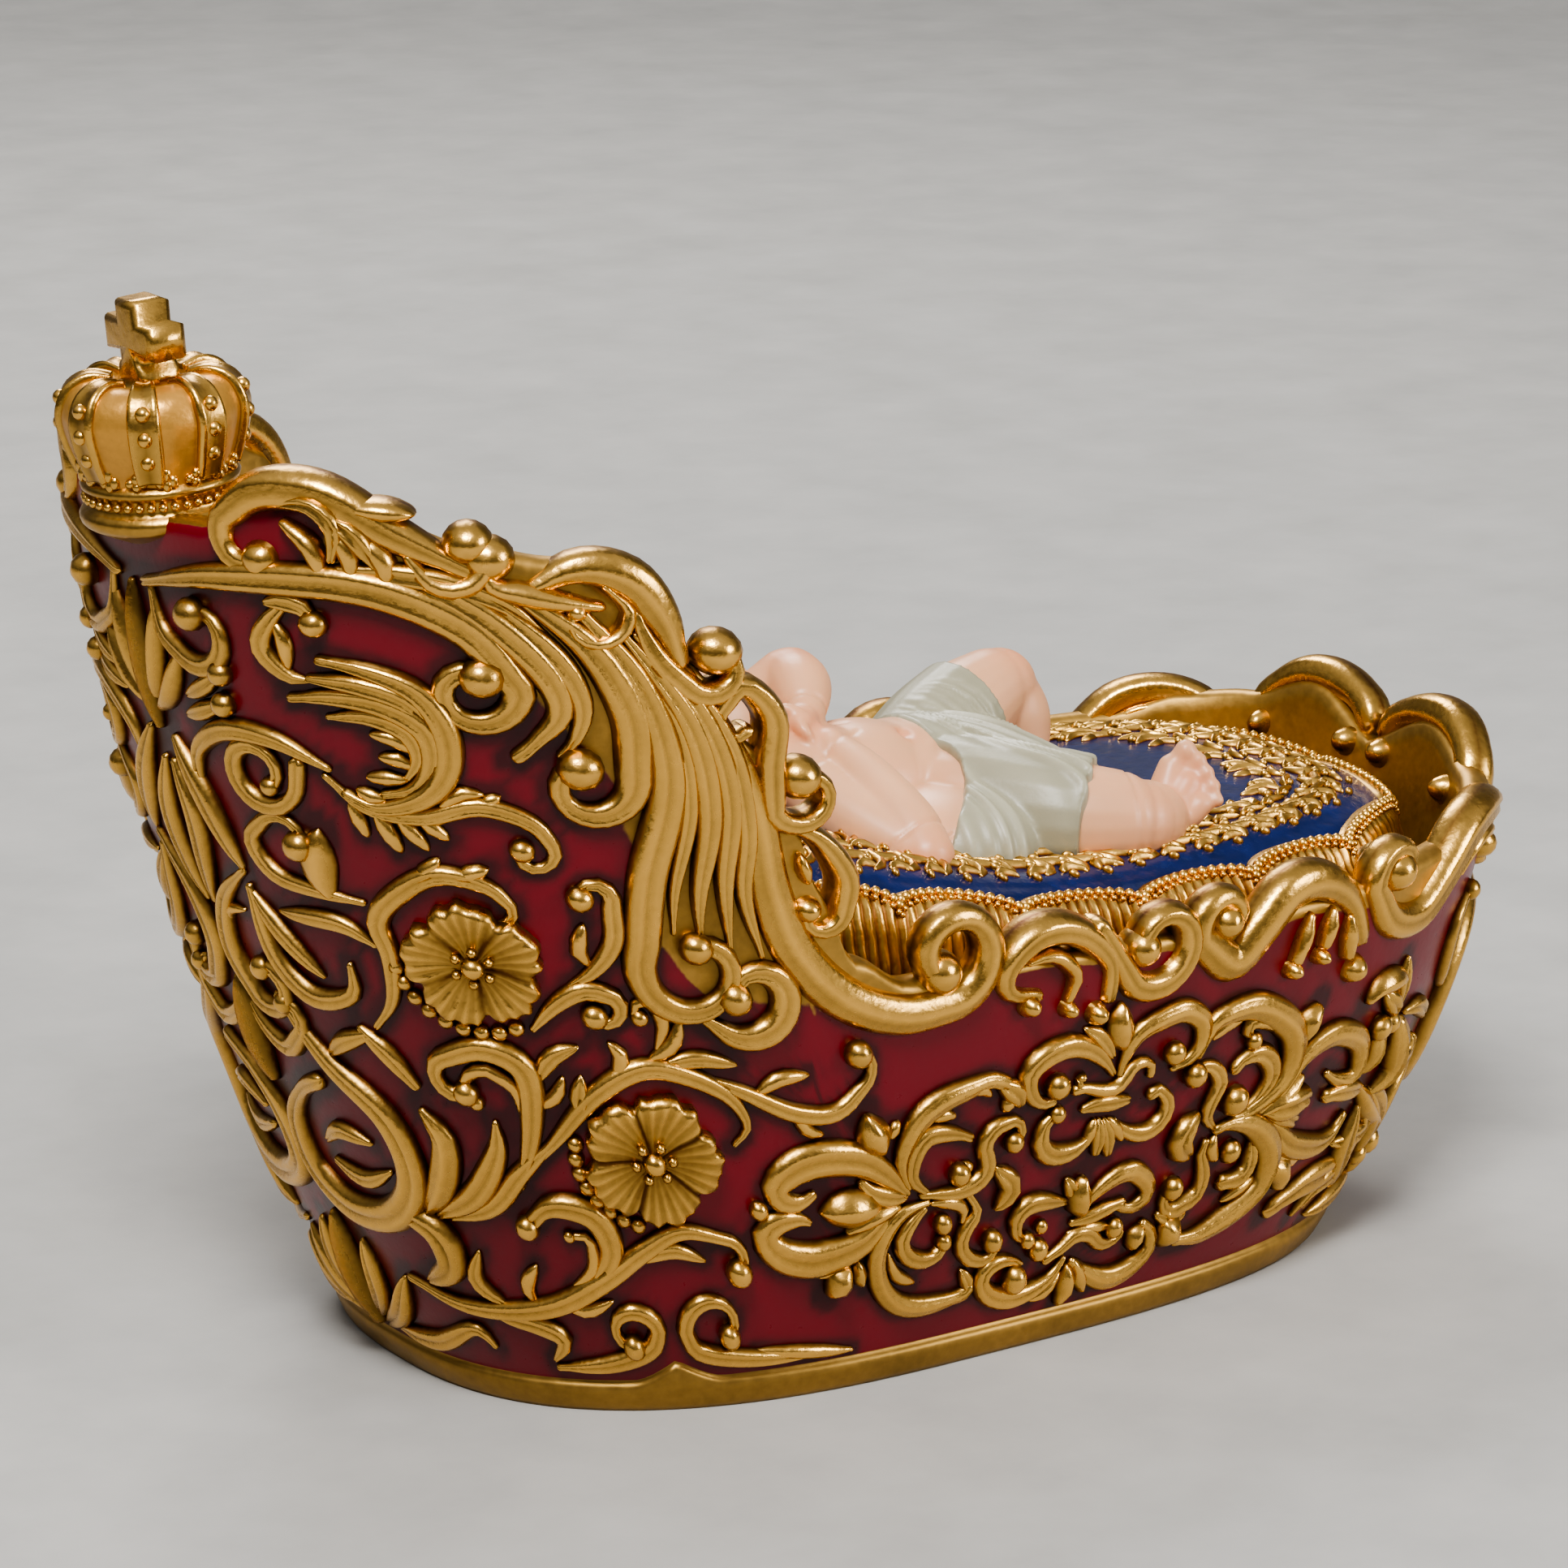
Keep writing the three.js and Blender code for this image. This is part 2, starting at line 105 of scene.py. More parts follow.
def reach(part, z):
    """Base reach plus a share of the way to the top reach: 1 - (1 - height) to the power of the bow."""
    top = bpy.context.scene.cradle_sizes.tub_top / MM
    rise = np.clip(np.asarray(z, float) / top, 0, 1)
    return part[0] + (part[1] - part[0]) * (1 - (1 - rise) ** part[2])


def on_tub(angle, z, inset=0.0):
    """A superellipse in plan, x = |cos|^(2/n) reach and y = |sin|^(2/n) reach, with its own n at each end."""
    c, s = np.cos(angle), np.sin(angle)
    n = np.where(c < 0, HEAD[3], FOOT[3])
    ends = np.where(c < 0, reach(HEAD, z), reach(FOOT, z)) - inset
    x = np.sign(c) * np.abs(c) ** (2 / n) * ends
    y = np.sign(s) * np.abs(s) ** (2 / n) * (reach(SIDE, z) - inset)
    return np.stack(np.broadcast_arrays(x, y, np.asarray(z, float)), -1)


def tub_walk():
    """Plan angles from the headboard's middle to the foot's along the near side, and the distance to each."""
    angle = -np.pi + np.pi * np.linspace(0, 1, 24001)
    return angle, run_along(on_tub(angle, CHART_HEIGHT))


def wrapped(s):
    """A distance round the tub brought to between minus and plus half the way round."""
    half = WALK[1][-1]
    return (np.asarray(s, float) + half) % (2 * half) - half


def angle_at(s):
    """The plan angle at a distance round the tub, negative on the near side."""
    s = wrapped(s)
    angle = np.interp(np.abs(s), WALK[1], WALK[0])
    return np.where(s >= 0, angle, -angle)


def chart(s, z, over=0.0):
    """A chart point carried out along the surface normal, the cross product of the two chart directions."""
    s, z, over = np.broadcast_arrays(np.asarray(s, float), np.asarray(z, float), np.asarray(over, float))
    along_s = on_tub(angle_at(s + PROBE), z) - on_tub(angle_at(s - PROBE), z)
    along_z = on_tub(angle_at(s), z + PROBE) - on_tub(angle_at(s), z - PROBE)
    return on_tub(angle_at(s), z) + unit(np.cross(along_s, along_z)) * over[..., None]


def edge_height(s):
    """The wall's top edge: smooth steps between the heights of the EDGE table."""
    s = np.abs(wrapped(s))
    i = np.clip(np.searchsorted(EDGE[:, 0], s) - 1, 0, len(EDGE) - 2)
    share = ease((s - EDGE[i, 0]) / (EDGE[i + 1, 0] - EDGE[i, 0]))
    return EDGE[i, 1] + (EDGE[i + 1, 1] - EDGE[i, 1]) * share


# Meshes from arrays

class Heap:
    """Collects closed shapes given as rings of points, and makes one mesh of them all."""

    def __init__(self):
        self.points, self.faces, self.raised, self.count = [], [], [], 0

    def rings(self, grid, raised, loop=False):
        """Rings of points, each closed, and joined from the last to the first when they make a loop.

        Where they don't, the first and the last ring are each closed by a fan on its middle. No point lies
        below the ground, and the faces are turned outwards by the sign of the volume they enclose."""
        grid = np.asarray(grid, float)
        rows, around = grid.shape[:2]
        raised = np.broadcast_to(raised, (rows, around))
        turn = np.roll(np.arange(around), -1)
        starts = np.arange(rows if loop else rows - 1)[:, None] * around
        a, b = starts + np.arange(around)[None], starts + turn[None]
        total = rows * around
        quads = np.stack([a, b, (b + around) % total, (a + around) % total], -1).reshape(-1, 4)
        points, tones = grid.reshape(-1, 3).copy(), raised.reshape(-1)
        fans = np.zeros((0, 3), int)
        if not loop:
            lid, top = np.arange(around), total - around
            fans = np.vstack([np.stack([turn, lid, np.full(around, total)], -1),
                              np.stack([lid + top, turn + top, np.full(around, total + 1)], -1)])
            points = np.vstack([points, grid[0].mean(0), grid[-1].mean(0)])
            tones = np.concatenate([tones, [raised[0].mean()], [raised[-1].mean()]])
        points[:, 2] = np.maximum(points[:, 2], 0)
        tris = np.vstack([quads[:, [0, 1, 2]], quads[:, [0, 2, 3]], fans])
        p, q, r = (points[tris[:, k]] for k in range(3))
        if np.einsum("ij,ij->i", p, np.cross(q, r)).sum() < 0:
            quads, fans = quads[:, ::-1], fans[:, ::-1]
        self.points.append(points + [SHIFT, 0, 0])
        self.raised.append(tones)
        self.faces.append((quads + self.count, fans + self.count))
        self.count += len(points)

    def mesh(self, name):
        """All the shapes as one smooth mesh in metres, quads first and then the fans' triangles."""
        points = np.vstack(self.points) * MM
        quads = np.vstack([f[0] for f in self.faces])
        tris = np.vstack([f[1] for f in self.faces])
        mesh = bpy.data.meshes.new(name)
        mesh.vertices.add(len(points))
        mesh.vertices.foreach_set("co", points.ravel())
        corners = np.concatenate([quads.ravel(), tris.ravel()])
        mesh.loops.add(len(corners))
        mesh.loops.foreach_set("vertex_index", corners.astype(np.int32))
        starts = np.concatenate([np.arange(len(quads)) * 4, len(quads) * 4 + np.arange(len(tris)) * 3])
        mesh.polygons.add(len(starts))
        mesh.polygons.foreach_set("loop_start", starts.astype(np.int32))
        smooth(mesh)
        mesh.update(calc_edges=True)
        mesh.validate()
        keep_tone(mesh, "raised", np.concatenate(self.raised))
        return mesh

    def piece(self, name, material, node):
        """The heap's mesh put into the scene under its name."""
        return place(self.mesh(name), material, node)


def smooth(mesh):
    """Shades every face of a mesh smooth."""
    mesh.polygons.foreach_set("use_smooth", np.ones(len(mesh.polygons), bool))


def keep_tone(mesh, name, tone):
    """Keeps one number for each point of a mesh, which the finishes read by its name."""
    layer = mesh.attributes.get(name) or mesh.attributes.new(name, "FLOAT", "POINT")
    layer.data.foreach_set("value", np.asarray(tone).astype(np.float32))


def place(mesh, material, node):
    """A mesh put into the scene as a piece of the body, standing for a CAD node, with its finish."""
    obj = bpy.data.objects.new(mesh.name, mesh)
    bpy.context.scene.collection.objects.link(obj)
    mesh.materials.append(material)
    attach(obj, "root")
    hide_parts(node)
    return obj


# Lines and their sections

def even(path, step):
    """A polyline cut again at equal distances, with three closer cuts at either end for rounding it off."""
    run = run_along(path)
    near = np.array([0, 0.12, 0.4, 0.8]) * min(ROUND_OFF, run[-1] / 4)
    count = max(2, int(round((run[-1] - 2 * ROUND_OFF) / step)))
    middle = np.linspace(near[-1], run[-1] - near[-1], count + 1)[1:-1]
    at = np.concatenate([near, middle, run[-1] - near[::-1]])
    return np.stack([np.interp(at, run, path[:, k]) for k in range(path.shape[1])], -1), at


def spline(points):
    """A Catmull-Rom curve through the points, sixteen short steps to a span."""
    p = np.asarray(points, float)
    ends = np.vstack([2 * p[0] - p[1], p, 2 * p[-1] - p[-2]])
    t = np.linspace(0, 1, 16, endpoint=False)[None, :, None]
    a, b, c, d = (ends[i:len(ends) - 3 + i, None] for i in range(4))
    square, cube = 2 * a - 5 * b + 4 * c - d, 3 * b - a - 3 * c + d
    fine = 0.5 * (2 * b + (c - a) * t + square * t ** 2 + cube * t ** 3)
    return np.vstack([fine.reshape(-1, p.shape[1]), p[-1]])


def spiral(start, eye, turn):
    """Round an eye from a start point, a step every nine degrees, the radius shrinking evenly."""
    away = np.subtract(start, eye)
    radius, first = np.hypot(*away), math.atan2(away[1], away[0])
    t = np.linspace(0, 1, max(5, int(abs(turn) / 9)) + 1)[1:]
    a = first + math.radians(turn) * t
    r = radius * (1 - (1 - TIGHT) * t)
    return np.stack([eye[0] + r * np.cos(a), eye[1] + r * np.sin(a)], -1)


def centreline(line, eye=None, turn=0, eye0=None, turn0=0, step=STEP):
    """Out of the first eye, through the points and round the last eye."""
    path = spline(line)
    if eye0 is not None:
        path = np.vstack([spiral(line[0], eye0, turn0)[::-1], path])
    if eye is not None:
        path = np.vstack([path, spiral(line[-1], eye, turn)])
    return even(path, step)


def breadth(at, width, start, end):
    """A spindle: the larger of a half sine's power and a line between the end shares, with round ends."""
    t = at / at[-1]
    w = width * np.maximum(np.sin(np.pi * t) ** 0.6, start + (end - start) * t)
    to_end = np.minimum(at, at[-1] - at)
    return w * np.sqrt(np.clip(1 - np.clip(1 - to_end / (0.5 * w), 0, 1) ** 2, 0.0009, 1))


def ribbon(line, width, start, end, across, **path):
    """The chart points of a carved line: each cut of its centreline spread sideways by half its breadth.

    With them come each cut's breadth as a share of the widest, and the centreline's last point."""
    points, at = centreline(line, **path)
    w = breadth(at, width, start, end)
    along = unit(np.gradient(points, axis=0))
    side = across[None] * w[:, None] * 0.5
    s = points[:, :1] - along[:, 1:] * side
    z = points[:, 1:] + along[:, :1] * side
    return s, z, (w / w.max())[:, None], points[-1]


ACROSS = np.cos(np.linspace(np.pi, 0, 11))  # -1 to 1 over a carved line, close together at its edges


def dip(across, kind, wide_one, wide_two):
    """A groove's depth over a line, from 0 to 1: a bell on the middle, or one to either side for a twin."""
    if kind == "groove":
        return np.exp(-(across / wide_one) ** 2)
    if kind == "twin":
        return np.exp(-((np.abs(across) - 0.42) / wide_two) ** 2)
    return 0 * across


def section(kind):
    """Height over a carved line from edge to edge: a half round, less a groove or two, or a sharp crest."""
    round_over = np.sqrt(1 - ACROSS ** 2 * 0.999)
    if kind == "crest":
        return (1 - np.abs(ACROSS)) ** 0.62 * 0.7 + 0.3 * round_over
    return round_over * (1 - (0.42 if kind == "groove" else 0.36) * dip(ACROSS, kind, 0.26, 0.16))


def carve(heap, mirror, line, width, start, end, kind, high=None, ball=0, ground=chart, **path):
    """A carved line: its section, scaled by its breadth, carried along its centreline on the tub.

    Its foot lies inside the wall. The height follows the breadth to the power of 0.7."""
    s, z, full, last = ribbon(line, width, start, end, np.concatenate([[-1], ACROSS, [1]]), **path)
    high = width * 0.55 if high is None else high
    shape = section(kind)
    foot = np.full(full.shape, -SINK)
    over = np.hstack([foot, high * full ** 0.7 * shape[None], foot])
    tone = np.concatenate([[0], 0.12 + 0.88 * shape, [0]])
    heap.rings(ground(mirror * s, z, over), tone[None])
    if ball:
        dome(heap, mirror, last, ball, ball * 0.35, ground=ground)


def dome(heap, mirror, at, radius, over, thick=None, rows=7, around=12, ground=chart):
    """A ball on the tub: the unit sphere's own points scaled along the chart and along the normal."""
    thick = radius if thick is None else thick
    tilt = np.linspace(0.06, 0.94, rows)[:, None] * np.pi
    turn = full_turn(around)[None]
    s = at[0] + radius * np.sin(tilt) * np.cos(turn)
    z = at[1] + radius * np.sin(tilt) * np.sin(turn)
    out = over - thick * np.cos(tilt) + 0 * turn
    heap.rings(ground(mirror * s, z, out), 0.35 + 0.6 * np.abs((out - over) / thick))


def roll(heap, mirror, line, width, start, end, kind, ball=0, **path):
    """A scroll that stands on the wall's edge: a rounded bar across the wall, grooved on both faces."""
    sizes = bpy.context.scene.cradle_sizes
    outside, inside = sizes.rim_out / MM, sizes.rim_in / MM
    middle, half = (outside - inside) / 2, (outside + inside) / 2
    cosine, sine = np.cos(full_turn(20)), np.sin(full_turn(20))
    across = np.sign(cosine) * np.abs(cosine) ** 0.94
    face = np.sign(sine) * np.abs(sine) ** 0.94
    groove_depth = (0.16 if kind == "groove" else 0.15) * dip(across, kind, 0.24, 0.17)
    s, z, full, last = ribbon(line, width, start, end, across, **path)
    over = middle + half * full ** 0.45 * (face * (1 - groove_depth))[None]
    tone = 0.3 + 0.7 * np.abs(face) * (1 - 4 * groove_depth)
    heap.rings(chart(mirror * s, z, over), tone[None])
    if ball:
        dome(heap, mirror, last, ball, middle, thick=half * 1.02, rows=9, around=16)


PETALS = 5
PETAL_SHARES = [1.0, 1.0, 0.97, 0.9, 0.8, 0.68, 0.55, 0.42, 0.3, 0.18]  # of the radius, from the foot in
PETAL_HEIGHTS = [-SINK, 1.3, 2.2, 2.75, 2.7, 2.35, 1.95, 1.7, 1.6, 1.7]


def bloom(heap, mirror, centre, radius, phase):
    """A flower: its radius waves between petals, and its height rises to their rims and dips in the seams."""
    turn = full_turn(90)[None]
    share = np.array(PETAL_SHARES)[:, None]
    high = np.array(PETAL_HEIGHTS)[:, None]
    lobe = np.abs(np.cos((turn - phase) * PETALS / 2)) ** 0.55
    outline = radius * (0.8 + 0.2 * lobe + 0.03 * np.cos(turn * PETALS * 3 + 1) + 0.02 * np.cos(turn * 23))
    seam = (1 - lobe) ** 3
    ribs = 0.22 * np.cos(turn * PETALS * 6) * share
    curl = 0.35 * np.sin(turn * 2 + phase) * share
    out = high + np.where(share < 1, ribs - 1.1 * seam * share, 0 * seam) + curl
    s = centre[0] + outline * share * np.cos(turn)
    z = centre[1] + outline * share * np.sin(turn)
    tone = np.clip(0.42 + 0.55 * (share - 0.3) + 1.6 * ribs * share - 0.8 * seam, 0, 1)
    heap.rings(chart(mirror * s, z, out), np.where(high < 0.5, 0.05, tone))
    dome(heap, mirror, centre, radius * 0.17, 2.0)
    for k in range(6):
        stamen = off(centre, radius * 0.26, phase + k * math.pi / 3)
        dome(heap, mirror, stamen, radius * 0.08, 2.1, rows=4, around=7)


# The carving, as lines on the chart

def stroke(line, width, start=0.35, end=0.6, kind="round", **how):
    """A carved line of the tables: its points on the chart, its width, and the shares of it at both ends.

    high is its height. eye and turn are a spiral's middle and degrees at the end, as eye0 and turn0 are at
    the start, and ball is the radius of a ball on its last point."""
    return dict(line=line, width=width, start=start, end=end, kind=kind, **how)


def groove(*shape, **how):
    """A stroke with one groove along it."""
    return stroke(*shape, kind="groove", **how)


def twin(*shape, **how):
    """A stroke with two grooves along it."""
    return stroke(*shape, kind="twin", **how)


def crest(*shape, **how):
    """A stroke with a sharp crest, as a leaf has."""
    return stroke(*shape, kind="crest", **how)


def thorn(line, width, **how):
    """A plain stroke that runs out to a tip."""
    return stroke(line, width, end=0.26, **how)


RIM = [
    groove([(53, 127.5), (43, 133.2), (34, 138.4), (26, 138.4), (20.5, 134.2)], 6.2, 0.5, eye=(25, 131.2),
        turn=150, ball=2.8),
    stroke([(37, 137.2), (45.5, 136.2)], 3.4, 0.8, 0.1),
    stroke([(44, 131.3), (46.5, 127.4)], 3.6, 0.5, eye=(50.3, 130.4), turn=200, ball=3.1),
    stroke([(29, 135), (33, 131.5), (34.5, 126.5)], 3.4, 0.6, 0.4),
    stroke([(34, 135.6), (37.4, 131.5), (38, 126.5)], 3.6, 0.6, 0.4),
    stroke([(38.5, 134), (41.6, 130), (41.8, 125.8)], 3.6, 0.6, 0.4),
    stroke([(67, 122.6), (61, 124), (56, 125.6)], 3.8, 0.5, eye=(55.2, 129.4), turn=-120, ball=3.3),
    twin([(57.5, 125.2), (64, 128.2), (70, 126.2), (73.8, 120), (75.5, 113)], 5.8, 0.5),
    stroke([(66.5, 126), (69.5, 122.5)], 2.6, 0.5, eye=(65, 121.3), turn=-230, ball=1.6),
    groove([(70, 122), (72.5, 115), (76.5, 109.8)], 4.2, 0.5, eye=(79.5, 113), turn=200, ball=3.4),
    groove([(79.8, 106.5), (83, 109.8), (86.7, 105), (86, 98), (85.8, 91)], 4.2, 0.5, eye0=(82.2, 104.6),
        turn0=200, eye=(90.3, 93.3), turn=250, ball=3.2),
    groove([(87, 89.5), (92, 86.5), (95.6, 80.5), (95, 75.5)], 4, 0.5, eye=(91.3, 75.7), turn=-200,
        ball=2.2),
    stroke([(89, 85), (90, 80)], 2.4, 0.5, 0.3),
    twin([(74, 114), (80, 103), (83.5, 92), (84.8, 80), (88, 70), (95, 62), (104, 58), (112.5, 58)], 7,
        0.6, eye=(112.5, 65.6), turn=330, ball=3.4),
    groove([(128.5, 56.5), (122.5, 58), (121.8, 62), (127, 66), (134, 65), (140, 59.5), (140.5, 53)], 5,
        0.5),
    stroke([(124.8, 62), (129.5, 62.5), (133.6, 59), (132.6, 54.5)], 3, 0.5),
    groove([(137, 66), (141, 60.5), (144.5, 55.5)], 5.2, 0.7, eye=(149.2, 60.5), turn=320, ball=3),
    twin([(156.5, 60), (163.5, 55), (168.5, 59), (173.5, 63.8), (180, 64), (187, 59.5), (191.5, 52)], 7,
        0.5, eye0=(161.2, 61.6), turn0=-230),
    groove([(192, 60.5), (197.5, 54.5), (205, 53.5), (211, 58.5), (216.5, 63.6), (223.5, 65.2),
        (230.5, 64), (235, 60.8)], 6.6, 0.5, eye0=(197, 62), turn0=-200, eye=(231.5, 58.5), turn=-200,
        ball=2.6),
    twin([(241.5, 61.5), (243.5, 66.5), (250, 70.4), (258, 70.8), (264.5, 68.5), (267, 64)], 6.4, 0.8,
        0.8),
    stroke([(246.5, 61), (249.5, 65.5), (254.5, 67), (259, 65.5), (261, 61.5)], 2.8, 0.5),
    stroke([(215, 57), (218, 61.5), (223.5, 62.5), (228, 60)], 2.8, 0.5),
    stroke([(178, 60), (176, 52)], 2.8, 0.5, 0.9),
    stroke([(182.5, 60), (181.5, 53.5)], 2.8, 0.5, 0.9),
    stroke([(186.5, 58), (188, 50.5)], 3, 0.5, 0.9),
]

RIM_BALLS = [((126, 55.5), 2.1), ((138.5, 52), 2.1), ((161.2, 61.6), 3.2), ((190.5, 48.6), 2.6),
    ((197, 62), 3.6), ((264.5, 62.5), 2.8), ((244, 61.5), 2.8), ((133, 53.8), 1.7), ((176, 51.5), 1.8),
    ((181.5, 52.5), 1.6)]

STRANDS = [
    stroke([(3, 122), (20, 126), (38, 126.5), (50, 121), (56, 112)], 4.4, 0.34, high=2.6, eye=(50.5, 112),
        turn=-300, ball=2.8),
    stroke([(40, 128.5), (50, 124.5), (58, 116), (60.5, 109), (57, 104.5), (54, 102)], 3.6, end=0.5,
        high=2.5),
    stroke([(52, 126), (60, 117), (63, 110), (62, 105), (59.5, 102)], 2.8, end=0.4, high=2.3),
    stroke([(55, 126.5), (64, 118), (68.5, 108), (68.5, 99)], 4.2, high=2.7, eye=(62.6, 98.2), turn=-260,
        ball=3),
    stroke([(62, 125), (70, 112), (72.5, 98), (68.5, 84), (66.7, 74)], 4.4, high=3, eye=(73.5, 69.7),
        turn=300, ball=2.4),
    thorn([(68, 120), (75.5, 106), (77.3, 93), (75, 81), (74.5, 74)], 3.2, high=2.8),
    thorn([(70, 119), (77.5, 106), (80, 94), (78.5, 82), (78.5, 72)], 3.0, high=2.6),
    thorn([(72, 118), (80, 103), (82, 90), (81, 80), (83, 70)], 2.8, high=2.4),
    thorn([(66, 119), (73.5, 106), (74.8, 94), (71.8, 82), (71, 75)], 2.4, high=2.2),
    stroke([(30, 128), (44, 128), (54, 124.5), (60, 119)], 3.0, 0.34, 0.3, high=2.0),
    stroke([(73, 63), (77, 59.5)], 4, high=2.6, eye=(81, 64.5), turn=300, ball=2.5),
    stroke([(34, 136), (38, 134), (41, 129)], 2.6, end=0.5, high=3.4),
    stroke([(28.5, 137), (33, 137.5), (36, 134.5), (35.5, 129.5)], 2.4, end=0.5, high=3.6),
]

VINES = [
    groove([(31.8, 116), (38.2, 114.8), (43.8, 112), (46.5, 106.8), (46.2, 101.2), (42.8, 97),
        (36.8, 95.2), (32.2, 97.2)], 3.2, 0.4, 0.4, high=2.6),
    groove([(27.2, 110), (33.8, 110.8), (39.5, 110), (44, 106.8), (44.5, 102), (42, 98.2), (37.2, 97)], 3,
        0.4, 0.4, high=2.2),
    groove([(30.2, 113.2), (37, 112.8), (42.5, 110.5), (45.8, 105.2)], 2.6, 0.4, 0.5, high=2.4),
    stroke([(32, 107.8), (37.5, 108.2), (41.8, 106.2), (42.8, 102.5), (40.8, 99.2)], 2.4, 0.34, 0.4),
    stroke([(37.2, 105.8), (40.2, 105.2), (42.2, 103.2)], 2, 0.5, 0.3),
    stroke([(37.8, 102.5), (40.5, 102.2), (42, 100.8)], 2, 0.5, 0.3),
    stroke([(35.8, 99.5), (38.8, 99.5), (41.2, 99.2)], 2, 0.5, 0.3),
    stroke([(34.2, 97.8), (35.8, 96.8), (38.2, 96.2)], 2, 0.5, 0.3),
    groove([(29.5, 124), (26.2, 120.5), (24.8, 116.8), (28, 113.2), (31, 112.8)], 2.6, 0.5, 0.3),
    stroke([(25.8, 123.2), (28.8, 123.8), (31.5, 123), (32.5, 121)], 2.6, 0.4, 0.6, ball=1.9),
    stroke([(26.8, 121), (28, 118.5), (28.2, 113.8)], 2, 0.4, 0.3),
    stroke([(7.5, 92), (9, 99), (16, 103.6), (24, 103.6), (31.5, 100)], 2.8, 0.34, 0.3),
    stroke([(27, 101.5), (26, 97)], 2.6, 0.8, eye=(20.5, 98.5), turn=-400, ball=1.4),
    stroke([(30, 99.5), (35, 95), (42, 94), (49, 95.5), (55, 93), (57.5, 89)], 2.4, eye=(54.5, 88.5),
        turn=-220, ball=1.7),
    thorn([(33, 96), (34.5, 90.5)], 2),
    thorn([(36, 95), (38.5, 88.5)], 2.2),
    thorn([(38.5, 94.6), (42, 89)], 2.1),
    thorn([(41, 94.4), (44.8, 90.6)], 2),
    thorn([(44, 95), (47, 97.4), (50, 97.2)], 2),
    thorn([(49, 95.5), (52, 97)], 1.8),
    stroke([(32, 80.5), (25, 81.5), (18.5, 83), (15.8, 87.5), (19, 91)], 2.3, eye=(22.5, 88.5), turn=-150,
        ball=2.2),
    crest([(27, 80.5), (26.2, 85), (27.5, 91)], 4.8, 0.5, 0.26, high=2.2),
    stroke([(28, 61), (32, 66), (33.5, 73), (33, 78), (36, 82), (42, 85.5), (48, 84), (51, 80.5)], 2.8,
        end=0.5, eye=(47.5, 79.5), turn=-90),
    thorn([(39, 84), (43, 88)], 2.2),
    thorn([(44, 85), (49, 86.5)], 2.2),
    thorn([(32, 74), (27, 77), (17, 77)], 2.4),
    stroke([(56, 68.5), (60, 71), (63, 75), (63.5, 80)], 2.6, eye=(60.8, 81.5), turn=200, ball=1.9),
    thorn([(59.5, 71.5), (58.3, 74), (59.5, 78)], 2.2),
    stroke([(50, 62), (54, 66), (58, 68), (61.5, 67)], 2.6, eye=(60, 64.5), turn=-220, ball=1.9),
    stroke([(66.5, 58), (68, 62), (67, 65.5)], 2, eye=(65.5, 64), turn=180, ball=1.3),
    thorn([(65, 56.5), (69, 59), (70.5, 63)], 2.2),
    thorn([(45, 40), (50, 45), (57, 52), (64, 55.5), (70, 54), (76, 50), (78.5, 45), (76, 42)], 2.9),
    thorn([(66, 55.5), (72, 56.3), (78, 54.5)], 2.4),
    thorn([(55, 48), (54.5, 51), (55.5, 55)], 2.4),
    thorn([(60, 53.5), (61.5, 57.5), (60, 60)], 2.2),
    stroke([(71, 54), (78, 50.5), (86, 46), (93, 45), (98, 48.5)], 2.6, eye=(96, 52), turn=130, ball=2.2),
    thorn([(80, 49.5), (84, 51.5), (89, 51.5)], 2.2),
    thorn([(86, 46.5), (88, 43), (91, 41.8)], 2),
    groove([(43, 37), (47, 47), (48, 56), (43, 59.5), (36.5, 57.5)], 3.4, eye=(38.5, 54), turn=170,
        ball=1.9),
    stroke([(46, 48), (46, 53), (43, 56)], 2, eye=(41.5, 52), turn=150, ball=1.2),
    thorn([(49, 54), (52, 58), (56, 59.5)], 2.4),
    thorn([(48, 50), (51.5, 52), (53, 55)], 2),
    twin([(26, 31), (31, 37), (33.5, 44), (31, 49)], 4, 0.34, 0.26),
    groove([(28, 31), (36, 36), (41, 43), (42, 48)], 3.6, 0.34, 0.26),
    stroke([(30, 31), (38, 34), (44, 40), (50, 45)], 2.8, 0.34, 0.5),
    groove([(14, 50), (8, 47), (2.5, 41), (2.5, 33), (10, 28.5), (20, 30), (26, 37), (25, 46.5), (17, 54),
        (10, 63)], 4.6, 0.5, 0.3, high=2.6),
    stroke([(20, 41), (14, 42), (9, 39)], 2.4, end=0.5),
    stroke([(22, 37), (16, 34.5), (9, 36)], 2.4, end=0.5),
    groove([(20, 31), (27, 29), (27.5, 23), (21, 19)], 4.4, end=0.26),
    stroke([(16, 18.5), (28, 16), (42, 17.5), (52, 22), (60, 27), (66, 29.5), (73, 27.5)], 3,
        eye=(73, 23), turn=-120, ball=2.3),
    thorn([(57, 25), (64, 26.6), (69.5, 24.2)], 2.4),
    groove([(50, 21), (54.5, 27), (53, 33), (47, 34.5), (42.5, 31)], 3.8, ball=1.9),
    stroke([(47, 21), (51, 24), (51.5, 29), (48.5, 29.5)], 2, ball=1),
    thorn([(40, 18), (39.5, 21), (42, 24.5)], 2.2),
    thorn([(44, 18.5), (48, 17), (53, 18.6)], 2),
    stroke([(32, 15), (39, 14.5), (43, 12), (40, 8)], 2.8, end=0.3),
    thorn([(35, 17), (31, 21), (33, 26)], 2.4),
    stroke([(40, 7), (50, 8), (57.5, 10.5), (59.5, 14)], 2.8, eye=(55, 13), turn=250, ball=2),
    stroke([(88, 6.4), (75, 7.5), (66, 9.5), (64, 13)], 2.8, eye=(69.8, 13.2), turn=-220, ball=2),
    thorn([(96, 6), (84, 7.4), (76, 8.5)], 2.0),
]

